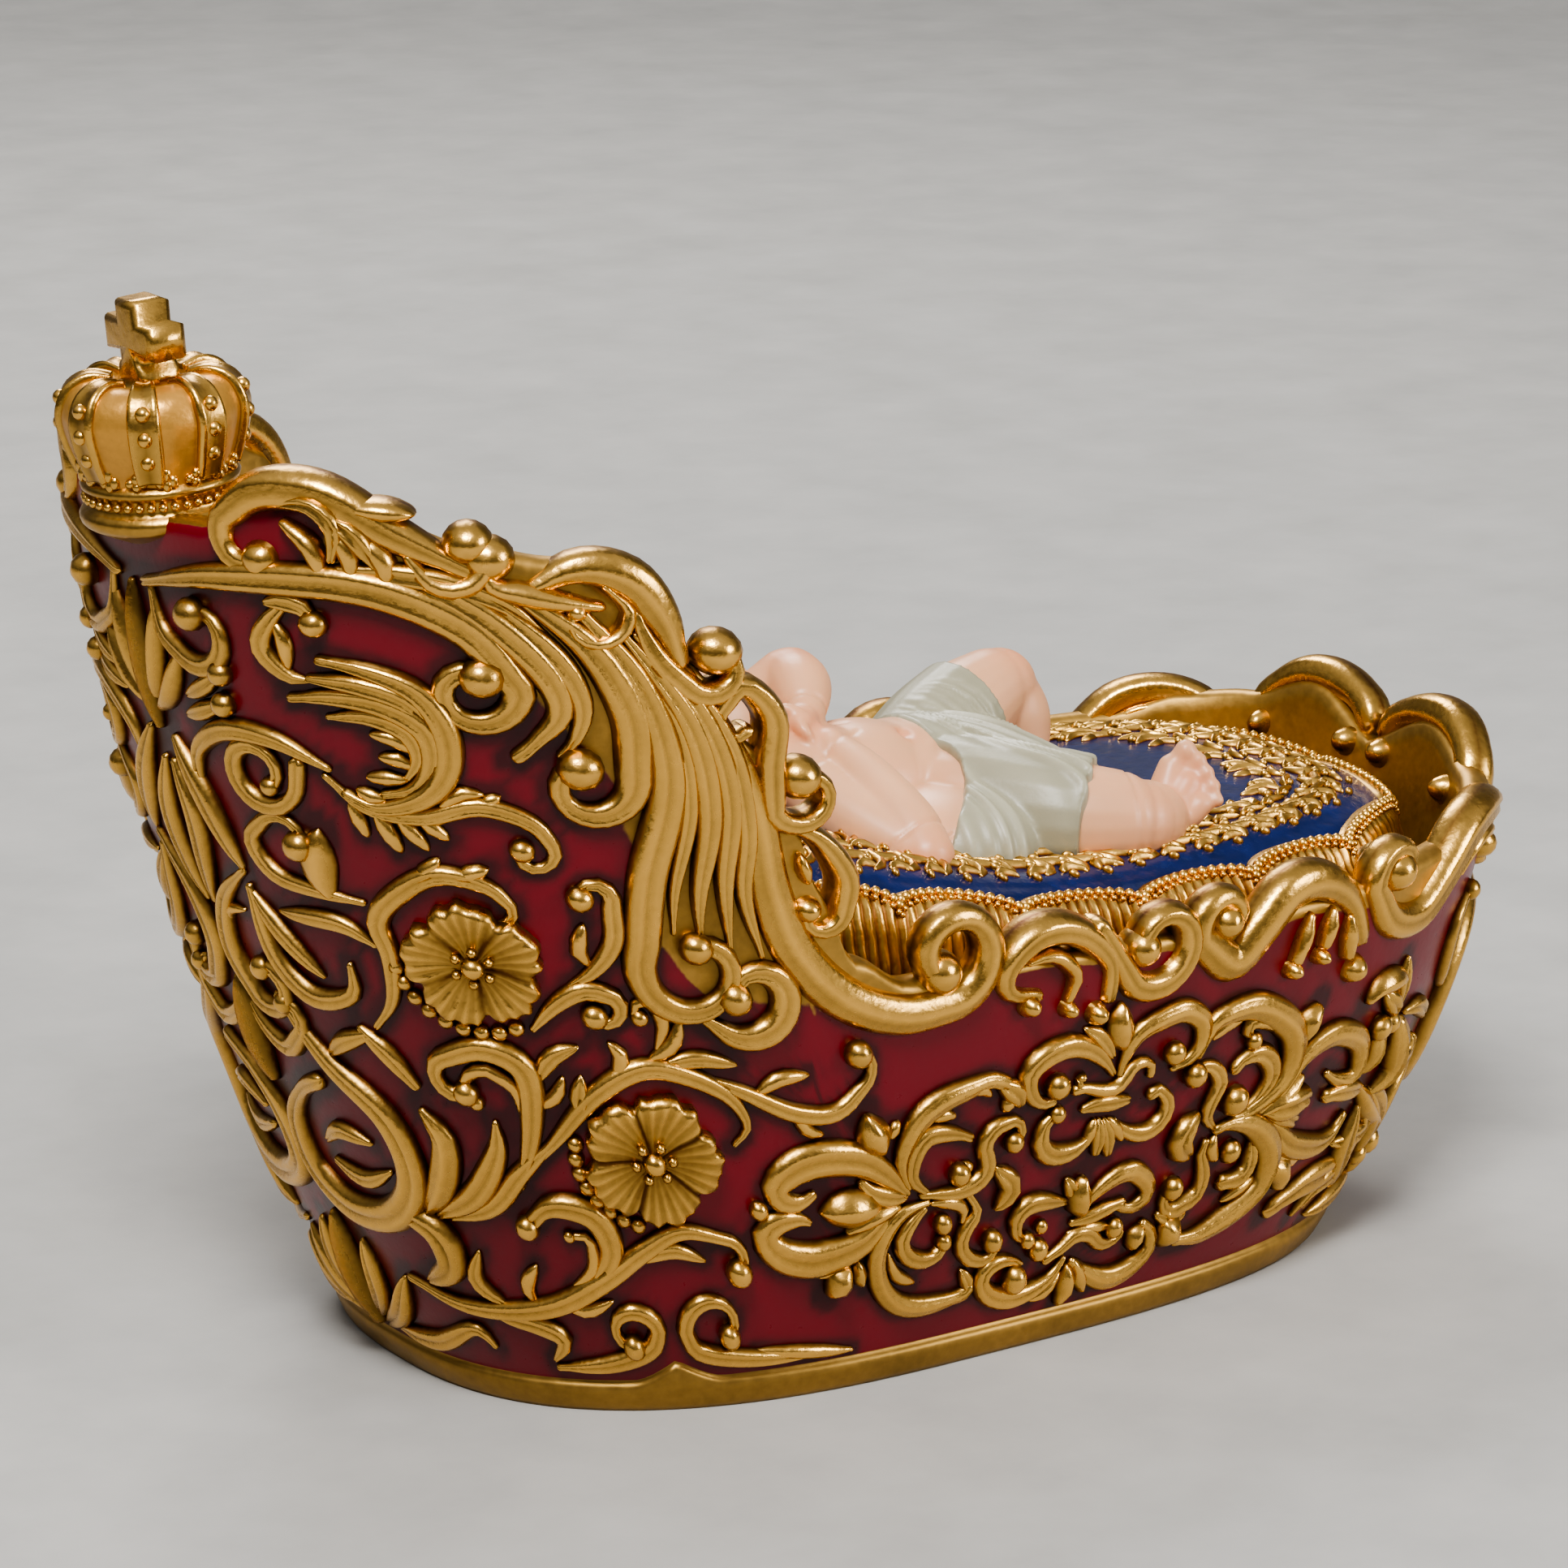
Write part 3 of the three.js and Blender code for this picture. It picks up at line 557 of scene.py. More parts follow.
BACK = [
    crest([(0, 100), (0, 110), (0, 122)], 4, 0.34, 0.26),
    crest([(0.6, 104), (3.5, 111), (5.4, 119.5)], 3.4, 0.34, 0.26),
    crest([(1, 103), (5.5, 107), (9.6, 113.6)], 3.2, 0.34, 0.26),
    stroke([(5, 122), (6.5, 116), (11, 113)], 2.8, eye=(14.5, 117.5), turn=230, ball=2.4),
    stroke([(9, 107), (13, 109), (17.5, 112)], 2.4, end=0.6, ball=1.8),
    stroke([(8, 104), (12, 105.4), (17, 107.5)], 2.4, end=0.6, ball=1.8),
    groove([(3, 100), (8, 92), (12, 82)], 3.4, end=0.26),
    groove([(1, 96), (3.5, 88), (2.5, 80), (0.8, 74)], 3.2, end=0.26),
    stroke([(12, 80), (13.5, 70), (19, 64.5), (26, 66), (27, 71)], 3, end=0.3),
    thorn([(12, 79), (17, 73), (22, 67.6)], 2.6),
    stroke([(18, 55), (22, 58), (27, 60)], 2.6),
    stroke([(25, 61), (29, 57), (32, 52)], 2.6),
    groove([(12, 82), (5, 76), (2.5, 68), (6, 61)], 3.2, eye=(9.5, 64.5), turn=230, ball=1.8),
    thorn([(2.5, 68), (4.6, 74), (9, 75)], 2),
    stroke([(0.5, 60), (4, 56), (9, 54), (13, 57)], 2.8, eye=(11.6, 60.2), turn=150, ball=1.6),
    crest([(0, 46), (0, 54), (0, 63)], 4.4, 0.4, 0.26),
    crest([(0, 6), (0, 14), (0, 25)], 5, 0.5, 0.26),
    groove([(1.5, 8), (6, 14), (6.5, 22)], 3.6, 0.5, 0.26),
    groove([(3, 7), (10, 11), (15, 18)], 3.6, 0.5, 0.26),
    stroke([(6, 7), (18, 8), (27, 12), (30, 9)], 2.8, end=0.3),
]

CARTOUCHE = [
    twin([(124.2, 43.5), (120.5, 45.1), (116.5, 44.6), (111.5, 43.6), (107.5, 41.4), (105, 37.4),
        (104.5, 34.4), (106.2, 30.4)], 3.3, 0.7, 0.4),
    groove([(121.8, 44.4), (125.2, 42.1), (126.5, 39.6)], 3.2, 0.6, 0.3),
    stroke([(124.8, 42), (123.2, 39.5)], 2.2, end=0.4),
    stroke([(110, 29.1), (106.5, 32.2), (106.8, 36), (109.2, 38.5), (114.2, 37.9), (118, 36.4)], 2.9, 0.4,
        0.5),
    groove([(108.2, 29.1), (115.8, 28.4), (120, 29.6), (121.2, 31.8), (120.2, 35), (121.8, 37.2),
        (124.5, 37.8)], 2.7, 0.4, 0.6, eye=(125.5, 35.5), turn=-190, ball=1.7),
    stroke([(109.5, 40.8), (112.2, 41.2), (114.5, 40.5)], 1.9, 0.6, 0.26),
    stroke([(115, 43.8), (118.5, 44.1), (121, 42.4)], 2, 0.6, 0.26),
    stroke([(118.5, 32.4), (116.8, 31.9), (115.5, 31.4)], 2, 0.34, 0.6, ball=1.9),
    twin([(110.5, 27.8), (104.8, 26.8), (101.2, 23.4), (100, 19.6), (101.2, 15.5), (104.2, 12.6),
        (108.8, 11.1), (115, 10.9), (119.8, 11.4), (120.5, 13.1)], 3.3, 0.34, 0.6),
    stroke([(120.5, 11.1), (119.8, 13.2), (118.2, 15.4)], 2.4, 0.8, 0.3),
    stroke([(109.8, 27.1), (106.8, 25), (105, 22.5), (106.2, 19.9), (109.8, 18.5), (113, 19.1),
        (113.5, 20.9)], 2.8, 0.4, 0.7, ball=1.5),
    stroke([(110.5, 27.4), (115, 26.8), (117.5, 25), (117.2, 22.9)], 2.1, 0.4, 0.5),
    stroke([(102.5, 20.9), (104, 17.2), (108.5, 15)], 2.2, 0.34, 0.26),
    stroke([(117.8, 27.8), (120.2, 24.5), (118.2, 22), (117.5, 19.4), (119.5, 17.1), (122, 16.2)], 2.5,
        0.5, 0.7, eye=(123.2, 18.4), turn=170, ball=1.9),
    stroke([(122.8, 30.9), (126.2, 27.9), (125.5, 25.5), (123.8, 23.9)], 3.4, 0.34, 0.26),
    groove([(106.2, 29.4), (102.5, 32.9), (98.2, 36.1), (93.8, 37.6), (88.8, 38), (84.8, 37),
        (82.2, 34.9), (83, 32.6), (86, 31.6), (89.2, 32.8)], 5, 0.34, 0.3, high=2.3),
    groove([(104.5, 28), (101.5, 26.2), (97.8, 23.8), (93.5, 22.6), (88, 22.1), (83, 23.4), (80.2, 25.9),
        (80.2, 28), (82.8, 29.1), (86.2, 28.9), (88.2, 27.9)], 5, 0.34, 0.26, high=2.3),
    groove([(106, 29.4), (102.5, 30), (98.8, 31.4), (96.8, 33.6)], 3, 0.34, 0.6),
    crest([(100.8, 29.2), (95, 29.5), (89.5, 29.5)], 5.4, 0.34, 0.26),
    crest([(104.8, 28.2), (99.5, 27.1), (94.2, 25.4)], 2.8, 0.34, 0.5),
    crest([(101, 37), (99.2, 40.4), (98, 43.8)], 5, 0.34, 0.5),
    stroke([(102.2, 39), (103, 40.4), (104, 41.8)], 1.8, end=0.3),
    stroke([(101.8, 35), (96.8, 38.5), (92, 40)], 2, 0.34, 0.3),
    crest([(94.8, 20.5), (93, 18.1), (90.5, 15.8)], 4.8, 0.34, 0.5),
    stroke([(99, 23), (94.2, 21.1), (90.2, 19.6), (87, 20.1)], 2.1, 0.34, 0.3),
    crest([(96.5, 20.8), (97, 18), (97.5, 16.1)], 2.8, 0.34, 0.4),
    groove([(139.2, 22.4), (133, 23.6), (129.8, 23.2), (128.5, 21.2), (129.5, 18.8), (131.5, 17.8)], 2.8,
        0.4, 0.5),
    crest([(142.8, 19.6), (141, 23.2), (141.5, 26.2)], 4.2, 0.5, 0.6),
    stroke([(140.8, 22.6), (139, 24.8), (137.8, 26.4)], 2.4, end=0.4),
    twin([(142.5, 20.1), (144.8, 22.8), (148.5, 24.8), (152, 24.9), (155.8, 22.2), (156, 19.9),
        (153.2, 18.8), (150.2, 19.8)], 2.9, 0.34, 0.5),
    stroke([(140.5, 18.6), (144.5, 19.1), (148.2, 19.8), (152, 20.1)], 2.3, 0.5, 0.8),
    stroke([(140.5, 16.9), (145, 17.2), (150.5, 16.4)], 1.8, 0.34, 0.3, ball=1.7),
    groove([(136.2, 13.2), (139.5, 14.6), (142.2, 16.4), (145.5, 16.1), (148.8, 14), (152.5, 14.1),
        (153, 15.6)], 2.3, 0.6, 0.5),
    twin([(142.5, 12.5), (146.8, 9.8), (152, 8), (157.2, 8.6), (160.8, 11), (160, 13.9), (156.8, 15.9)],
        3.2, 0.4, 0.5),
    crest([(156.5, 11.5), (156.5, 13.8), (158, 15.4)], 3.6, 0.4, 0.4),
    groove([(141.2, 13.5), (138.8, 10.6), (134.2, 9), (129.2, 8.8), (124.5, 10.5), (122.8, 13.2),
        (124.8, 15), (128.8, 15), (131.8, 13.6)], 3.1, 0.34, 0.4),
    crest([(142, 12), (142.8, 8), (141.8, 5.4)], 3.6, 0.4, 0.5),
    crest([(143.2, 12.5), (146.2, 8.9), (147.8, 6.5)], 2.8, 0.4, 0.5),
    stroke([(141, 10.9), (138.5, 8.5), (135.2, 7.2)], 2.1, 0.34, 0.4),
    groove([(143.8, 41.4), (141.5, 44), (138, 46.6), (133.8, 47.8), (129.5, 46.8), (127.2, 44.5),
        (128, 41.5), (130.5, 39.5), (133.2, 39.8)], 3.3, 0.34, 0.5),
    crest([(144.5, 45.1), (143.2, 49.5), (143.2, 52.9)], 4.2, 0.34, 0.26),
    stroke([(143.2, 44.2), (139.8, 48.1), (136.8, 49.9)], 2.5, 0.5, 0.26),
    twin([(144.8, 40.8), (145.5, 44.4), (147.5, 47.4), (152.2, 49), (155.8, 49.2), (159.5, 46.8),
        (160, 43.1), (158, 40.9), (155, 40.1)], 3.2, 0.34, 0.3),
    stroke([(136, 39.9), (137.8, 40.5), (142.8, 39.2), (145.5, 39.9), (147, 41.9), (149, 42.5),
        (151.2, 41.4), (150.8, 39.6)], 2.2, 0.7, 0.6),
    stroke([(138.2, 36.9), (141.5, 37.4), (144.8, 37.1), (148, 36.9)], 2.5, 0.5, 0.6),
    groove([(145, 34.4), (148, 32), (151.8, 30.9), (155, 32.1), (155.8, 35), (153, 37.5), (151.5, 36.2)],
        2.6, 0.34, 0.7),
    groove([(141.5, 32.5), (138.2, 30.9), (134, 30.9), (131.2, 32.9), (131.5, 35.9), (133.5, 37.4)], 3.1,
        0.34, 0.5, ball=1.5),
    stroke([(141.5, 35.2), (140.8, 32.4), (140, 30.6)], 2, 0.4, 0.7),
    stroke([(142.2, 35.1), (142.8, 31.4), (142.8, 28.9)], 2.4, 0.4, 0.7),
    stroke([(143.2, 34.9), (144.8, 31.2), (145.5, 28.4)], 2.4, 0.4, 0.7),
    stroke([(144, 34.8), (146.5, 32.2), (148, 30.5)], 2, 0.4, 0.7),
    stroke([(136.5, 42.2), (138, 41.5)], 2.6),
    twin([(159.8, 40.8), (160.8, 43), (161.8, 45.9), (165.2, 47.2), (169.8, 47.2), (175, 44.9),
        (179.5, 41.4), (181.2, 37.2), (180.5, 33.6), (177.5, 31.2), (174, 29.5), (171, 29.2)], 4.2, 0.34,
        0.3),
    stroke([(162.5, 43.2), (164.5, 45.2), (168.2, 45.5)], 2.2, 0.4, 0.26),
    stroke([(179, 39.9), (175.8, 43.2), (171.5, 44.8), (169.2, 44), (171.2, 41.6)], 2.8, 0.4, 0.3),
    groove([(174, 30.2), (176.2, 32.1), (177.5, 34.9), (176, 37.6), (173.2, 39.2), (170.2, 38.8),
        (168.2, 36.9)], 3, 0.34, 0.6),
    stroke([(168, 28.4), (165.2, 30.9), (165.5, 33.9), (166.2, 36.1), (164.2, 38.6), (161.5, 39.4),
        (160, 38.5)], 2.5, 0.4, 0.6, ball=2),
    stroke([(163.5, 31.9), (161, 29.8), (160.5, 27.4), (164.2, 24.8)], 4, 0.34, 0.3),
    crest([(178, 28.4), (182, 30.5), (184.2, 31.9), (185.5, 33.6)], 3.2, 0.34, 0.6),
    stroke([(178.5, 29), (183.5, 29.2), (188.8, 29.6)], 4.4, 0.34, 0.9),
    stroke([(179, 28.4), (182.5, 27.8), (187.8, 25.6)], 3, 0.4, 0.9),
    groove([(179, 27.6), (183.2, 25.2), (188.2, 22.1), (196.5, 20.1), (201.2, 21), (202.8, 24)], 3.6,
        0.34, 0.4),
    twin([(177.2, 28.9), (181.5, 31.6), (183.5, 35.8), (187.5, 38.2), (192, 38.4), (197.8, 36),
        (200.2, 32.2), (199.5, 29.8), (195.5, 30.4), (191.8, 32.2)], 3.5, 0.34, 0.3),
    crest([(182.5, 38.8), (183, 42.2), (184.8, 44.5)], 4, 0.34, 0.5),
    stroke([(179.5, 42.6), (181, 40.5), (182.5, 38.8)], 1.8, 0.5, 0.3),
    twin([(167.8, 28), (171.8, 28.6), (177, 27.2), (182.2, 23.4), (184.5, 19.5), (184, 16.2), (181.2, 14),
        (176.8, 12.2), (172, 11), (166.5, 11.2)], 4.2, 0.34, 0.4),
    groove([(177.8, 25), (179, 21.6), (177.8, 19.2), (173, 18.9)], 3.2, 0.34, 0.8),
    stroke([(168.8, 27.5), (168.5, 25.2), (171, 22.8)], 2.2, 0.34, 0.4),
    stroke([(183.2, 18.1), (179.2, 16.9), (176, 15.4)], 2.2, 0.4, 0.26),
    groove([(167.2, 27.1), (166.5, 24.9), (168.5, 21), (168, 18), (165, 17)], 2.7, 0.4, 0.6,
        eye=(162.8, 19.6), turn=-170, ball=1.9),
    crest([(185.5, 19.5), (189.8, 17.4), (191.2, 14.4)], 3.8, 0.4, 0.7),
    stroke([(184.5, 21.5), (190.8, 18.6), (194.5, 18.6)], 1.9, 0.4, 0.3),
    stroke([(160.2, 16.4), (164.2, 15.2), (167.8, 15.5)], 2.5, 0.5, 0.3),
    crest([(162.2, 15.2), (164.5, 13.1), (166.5, 11.2)], 4.6, 0.7, 0.5),
]

CARTOUCHE_BALLS = [((113, 23.9), 1.7), ((134, 19.6), 1.2), ((134.2, 15.9), 1.9), ((130, 11.9), 2.4),
    ((132.8, 41.9), 2.1), ((154.8, 42.9), 1.9), ((170.2, 32.6), 2.4), ((173, 24.1), 1.9),
    ((79, 31.6), 1.6), ((131.5, 17.8), 1.4), ((171.2, 41.6), 1.4)]

CORNER = [
    groove([(216.2, 15.5), (208, 14), (199.8, 13.5), (194.8, 12), (190.8, 10.8)], 4.4, 0.34, 0.7, high=2),
    stroke([(215.2, 13.6), (204.5, 11.9), (202, 7.8)], 3, 0.4, 0.3),
    stroke([(224.8, 9.5), (216.5, 7.9), (208.8, 6.6)], 3, 0.4, 0.3),
    groove([(203.5, 18.6), (210, 18.4), (213, 19.8), (209.8, 23.4)], 3.2, 0.34, 0.4),
    groove([(224.2, 9.1), (225, 12.1), (225, 14.1)], 3.4, 0.4, 0.6, ball=2),
    crest([(206.8, 43.8), (199.8, 44), (197, 41.6)], 3.8, 0.34, 0.5),
    stroke([(205.8, 47), (206.2, 43.8), (207.8, 39)], 2.4, 0.34, 0.6),
    twin([(203, 29.4), (204.5, 32.5), (202.8, 36.8)], 3.6, 0.34, 0.5, ball=2),
    twin([(209, 25), (213, 27.6), (212, 31.9), (209, 36.8)], 4.6, 0.34, 0.5),
    groove([(211, 27), (219.8, 28.5), (219.5, 31.6)], 3.4, 0.34, 0.6),
    groove([(193.5, 28), (198.2, 28), (205.5, 26.9)], 3, 0.7, 0.4),
    crest([(203.8, 27.5), (212.8, 21.6), (225.8, 16.2)], 3.4, 0.34, 0.5),
    stroke([(202, 42.2), (206, 38.9), (206, 36.8)], 3, 0.4, 0.6, ball=1.7),
    stroke([(210.8, 37), (215.8, 37), (221.8, 33.9)], 2.6, 0.4, 0.6),
    groove([(209, 26), (216, 21), (221, 13)], 3.8, 0.34, 0.4, ball=1.6),
    groove([(207, 24), (208, 17), (213, 10)], 3.8, 0.34, 0.3),
]

FOOT_END = [
    groove([(262, 46), (253, 51), (244, 50), (234, 45), (230, 38), (230, 29), (236, 22), (247, 26)], 4.6,
        0.34, eye=(243, 31), turn=160, ball=2),
    stroke([(230, 36), (224, 40), (222, 48), (226, 52)], 2.8, ball=1.6),
    stroke([(231, 27), (225, 22), (226, 14), (232, 12)], 2.8, ball=1.6),
    thorn([(244, 50), (248, 55), (254, 56.5)], 2.6),
    groove([(236, 22), (243, 15), (252, 12), (260, 14)], 3, eye=(258.5, 18.6), turn=170, ball=1.8),
    stroke([(247, 27), (252, 33), (258, 35), (263, 32)], 2.6, eye=(261, 28), turn=-150, ball=1.6),
    crest([(269.7, 8), (269.7, 22), (269.7, 38)], 5.4, 0.5, 0.26),
    groove([(268.5, 9), (263, 16), (264.5, 26)], 3.6, 0.5, 0.26),
    crest([(269.7, 40), (269.7, 47), (269.7, 56)], 4.4, 0.5, 0.26),
    groove([(268.5, 41), (264, 45), (264, 51)], 3, 0.5, 0.26),
]

# Flowers: middle, radius, turn of the petals, and the berries' distance, angles and radius
BLOOMS = [((44.5, 72.5), 9.2, 0.4, 10.6, range(186, 292, 13), 1.25),
          ((63.5, 41.5), 10.4, 1.1, 11.2, range(165, 252, 12), 1.35)]

# The part of the wall whose hollows are gilded too: a closed line on the chart, along the strands and the rim
GILT = np.array([(33, 127.5), (42, 126), (50, 121.5), (57, 112), (61, 106), (66, 98), (67.5, 86),
    (68, 76), (74, 65), (84, 63.5), (95, 60), (112, 58), (124, 60.5), (150, 59), (164, 57.5), (178, 59.5),
    (196, 57), (206, 55), (216, 60), (240, 60), (290, 60), (290, 90), (80, 160), (40, 150)], float)


def bolder(spec):
    """A carved line as the tool cuts it: wider by a factor, and with a groove where a round one is wide."""
    width = spec["width"] * BOLD
    kind = "groove" if spec["kind"] == "round" and width > 2.7 else spec["kind"]
    return dict(spec, width=width, kind=kind)


def all_carving():
    """Every carved line of one side, by the name of its piece."""
    lines = {"strands": STRANDS, "vines": VINES, "back_scrolls": BACK, "cartouches": CARTOUCHE,
             "foot_scrolls": CORNER + FOOT_END}
    return {name: [bolder(spec) for spec in group] for name, group in lines.items()}


def inside_polygon(s, z, corners):
    """Even-odd rule: a point is inside when a ray from it crosses the outline an odd number of times."""
    inside = np.zeros(np.shape(s), bool)
    for (s0, z0), (s1, z1) in zip(corners, np.roll(corners, -1, axis=0)):
        crosses = (z0 > z) != (z1 > z)
        meets = (s1 - s0) * (z - z0) / np.where(z1 == z0, 1e-9, z1 - z0) + s0
        inside ^= crosses & (s < meets)
    return inside


def soften(mask):
    """Smooths a mask three times: each value becomes the mean of itself, counted twice, and its neighbours."""
    for _ in range(3):
        wide = np.pad(mask, 1, mode="edge")
        mask = (2 * mask + wide[:-2, 1:-1] + wide[2:, 1:-1] + wide[1:-1, :-2] + wide[1:-1, 2:]) / 6
    return mask


def closeness(s, z):
    """How near each wall point is to a carved line's edge: exp of minus the squared gap.

    The gap is the distance to the nearest point of a centreline, less a share of that line's width."""
    keys = ("line", "eye", "turn", "eye0", "turn0")
    paths = [(centreline(**{key: spec[key] for key in keys if key in spec})[0], spec["width"])
             for group in all_carving().values() for spec in group]
    nodes = np.vstack([p for p, _ in paths])
    half = np.concatenate([np.full(len(p), w * 0.42) for p, w in paths])
    flat = np.stack([s.ravel(), z.ravel()], -1)
    gaps = [(np.sqrt(((part[:, None] - nodes[None]) ** 2).sum(-1)) - half[None]).min(1)
            for part in np.array_split(flat, max(1, len(flat) // 1500))]
    gap = np.clip(np.concatenate(gaps).reshape(s.shape), 0, None)
    return np.exp(-(gap / 1.1) ** 2)


# Finishes

class Reading:
    """A shader value that takes part in sums as a number does."""

    def __init__(self, paint, socket):
        self.paint, self.socket = paint, socket

    def _math(self, operation, first, second):
        return self.paint.value("ShaderNodeMath", {0: first, 1: second}, operation=operation)

    def __add__(self, other):
        return self._math("ADD", self, other)

    def __sub__(self, other):
        return self._math("SUBTRACT", self, other)

    def __rsub__(self, other):
        return self._math("SUBTRACT", other, self)

    def __mul__(self, other):
        return self._math("MULTIPLY", self, other)

    __radd__, __rmul__ = __add__, __mul__


class Paint:
    def __init__(self, name, **plain):
        self.material = bpy.data.materials.new(name)
        self.material.use_nodes = True
        self.tree = self.material.node_tree
        self.shader = self.tree.nodes["Principled BSDF"]
        for socket, amount in plain.items():
            self.shader.inputs[socket.replace("_", " ")].default_value = amount
        self.place = self.node("ShaderNodeTexCoord", {}, "Object")

    def node(self, kind, inputs, output=0, **settings):
        """A new node with its settings made, its inputs linked or set, and one of its outputs given back."""
        made = self.tree.nodes.new(kind)
        for name, amount in settings.items():
            setattr(made, name, amount)
        for key, amount in inputs.items():
            self.feed(amount, made.inputs[key])
        return made.outputs[output]

    def feed(self, amount, socket):
        """Links a reading or an output to a socket, or sets a plain amount on it."""
        if isinstance(amount, Reading):
            amount = amount.socket
        if isinstance(amount, bpy.types.NodeSocket):
            self.tree.links.new(amount, socket)
        else:
            socket.default_value = amount

    def value(self, *args, **settings):
        """A node's output as a reading."""
        return Reading(self, self.node(*args, **settings))

    def noise(self, scale, detail=3.0, rough=0.5):
        """Noise from 0 to 1, so many waves to a metre."""
        inputs = {"Vector": self.place, "Scale": scale, "Detail": detail, "Roughness": rough}
        return self.value("ShaderNodeTexNoise", inputs, "Fac")

    def attribute(self, name):
        """A number that the mesh keeps for each point."""
        return self.value("ShaderNodeAttribute", {}, "Fac", attribute_name=name)

    def ramp(self, value, stops):
        """A colour that runs through stops, each a position and a colour."""
        output = self.node("ShaderNodeValToRGB", {0: value}, "Color")
        elements = output.node.color_ramp.elements
        while len(elements) < len(stops):
            elements.new(0.5)
        for element, (position, colour) in zip(elements, stops):
            element.position, element.color = position, (*colour, 1)
        return output

    def mix(self, share, first, second):
        """One colour changed into another by a share."""
        return self.node("ShaderNodeMix", {0: share, 6: first, 7: second}, 2, data_type="RGBA")

    def step(self, value, low, high):
        """A smooth step from 0 to 1 between two values."""
        inputs = {"Value": value, "From Min": low, "From Max": high}
        return self.value("ShaderNodeMapRange", inputs, interpolation_type="SMOOTHSTEP")

    def finish(self, bump, depth, strength, **shader):
        """The material, with the shader's named sockets fed and a bump of the given depth in metres."""
        for name, source in shader.items():
            self.feed(source, self.shader.inputs[name.replace("_", " ")])
        inputs = {"Height": bump, "Distance": depth, "Strength": strength}
        self.feed(self.node("ShaderNodeBump", inputs, "Normal"), self.shader.inputs["Normal"])
        return self.material


def chosen(name):
    """A colour of the sidebar as a tuple."""
    return tuple(getattr(bpy.context.scene.cradle_colours, name))


def shade(colour, *factors):
    """A colour with its parts multiplied by one factor or by three, none above 1."""
    return tuple(min(1.0, c * factor) for c, factor in zip(colour, factors * 3))


def gold_paint(name, bright, dark, polish=0.25, metal=1.0):
    """Antique gold: a brown wash in the hollows, gold on the faces and worn bright on the tops."""
    paint = Paint(name, Metallic=metal, Specular_IOR_Level=0.5)
    patch, grain = paint.noise(70, 4), paint.noise(900)
    height = paint.attribute("raised") + (patch - 0.5) * 0.45 + (grain - 0.5) * 0.2
    colour = paint.ramp(height, [(0.0, shade(dark, 0.5)), (0.25, shade(dark, 1.1)), (0.5, shade(bright, 0.6)),
                                 (0.78, bright), (1.0, shade(bright, 1.3))])
    rough = (1 - paint.step(height, 0.05, 0.9)) * 0.2 + polish + (grain - 0.5) * 0.14
    return paint.finish(grain + patch * 2, 0.00018, 0.45, Base_Color=colour, Roughness=rough)


def wall_paint():
    """Wine red with a satin coat, painted shade and wash beside the carving, and gilded where the mask says
    so.
    """
    paint = Paint("wine_red_and_gold", Coat_Roughness=0.3, Specular_IOR_Level=0.3)
    patch, grain = paint.noise(45, 4), paint.noise(700)
    red, gold = chosen("ground"), chosen("gold")
    # near: how close each point of the outer wall lies to the carving, kept by the shell as its tone
    near = paint.attribute("raised")
    gilt = paint.step(paint.attribute("gilt") + (grain - 0.5) * 0.2, 0.42, 0.58)
    # painted shade: the red darkens towards the carving's foot and is lighter away from it, where the brown
    # wash also gathers
    ground = paint.ramp(near + (patch - 0.5) * 0.14, [
        (0.0, shade(red, 1.15)), (0.35, red), (0.75, shade(red, 0.6)), (1.0, shade(red, 0.3))])
    # the gilded ground darkens towards the carving too: painted shade
    hollow = paint.ramp(patch * 0.6 + grain * 0.3 - near * 0.25, [
        (0.0, shade(gold, 0.25)), (0.3, shade(gold, 0.5)), (0.6, shade(gold, 0.85)), (1.0, shade(gold, 1.2))])
    return paint.finish(grain + patch * 3, 0.00012, 0.3, Base_Color=paint.mix(gilt, ground, hollow),
                        Roughness=0.3 + (grain - 0.5) * 0.12 + gilt * 0.12, Metallic=gilt * 0.9,
                        Coat_Weight=0.12 - gilt * 0.12)


def cushion_paint():
    """Glossy deep blue, a little uneven."""
    blue = chosen("cloth")
    paint = Paint("blue_gloss", Coat_Weight=0.3, Coat_Roughness=0.15, Specular_IOR_Level=0.45)
    patch, grain = paint.noise(120, 4), paint.noise(500)
    stops = [(0.25, shade(blue, 0.55)), (0.5, blue), (0.75, shade(blue, 1.7))]
    colour = paint.ramp(patch * 0.7 + grain * 0.3, stops)
    rough = 0.24 + (grain - 0.5) * 0.1
    return paint.finish(patch * 2 + grain, 0.0003, 0.5, Base_Color=colour, Roughness=rough)


def flesh_paint():
    """Satin flesh, warmer at the joints and cheeks, with reddish lips and brown brows and lash lines."""
    skin = chosen("skin")
    paint = Paint("flesh_paint", Subsurface_Weight=0.12, Subsurface_Radius=(0.004, 0.0015, 0.0008),
                  Subsurface_Scale=1.0, Coat_Weight=0.12, Coat_Roughness=0.3)
    patch, grain = paint.noise(90), paint.noise(1500, 2)
    colour = paint.ramp(patch, [(0.3, shade(skin, 0.94)), (0.7, shade(skin, 1.04))])
    tints = (("blush", 0.55, shade(skin, 0.98, 0.62, 0.52)), ("lips", 0.7, (0.55, 0.12, 0.1)),
             ("brow", 0.8, (0.16, 0.08, 0.035)))
    for name, share, tint in tints:
        colour = paint.mix(paint.attribute(name) * share, colour, (*tint, 1))
    rough = 0.42 + (grain - 0.5) * 0.1
    return paint.finish(patch + grain * 0.4, 0.0001, 0.2, Base_Color=colour, Roughness=rough)


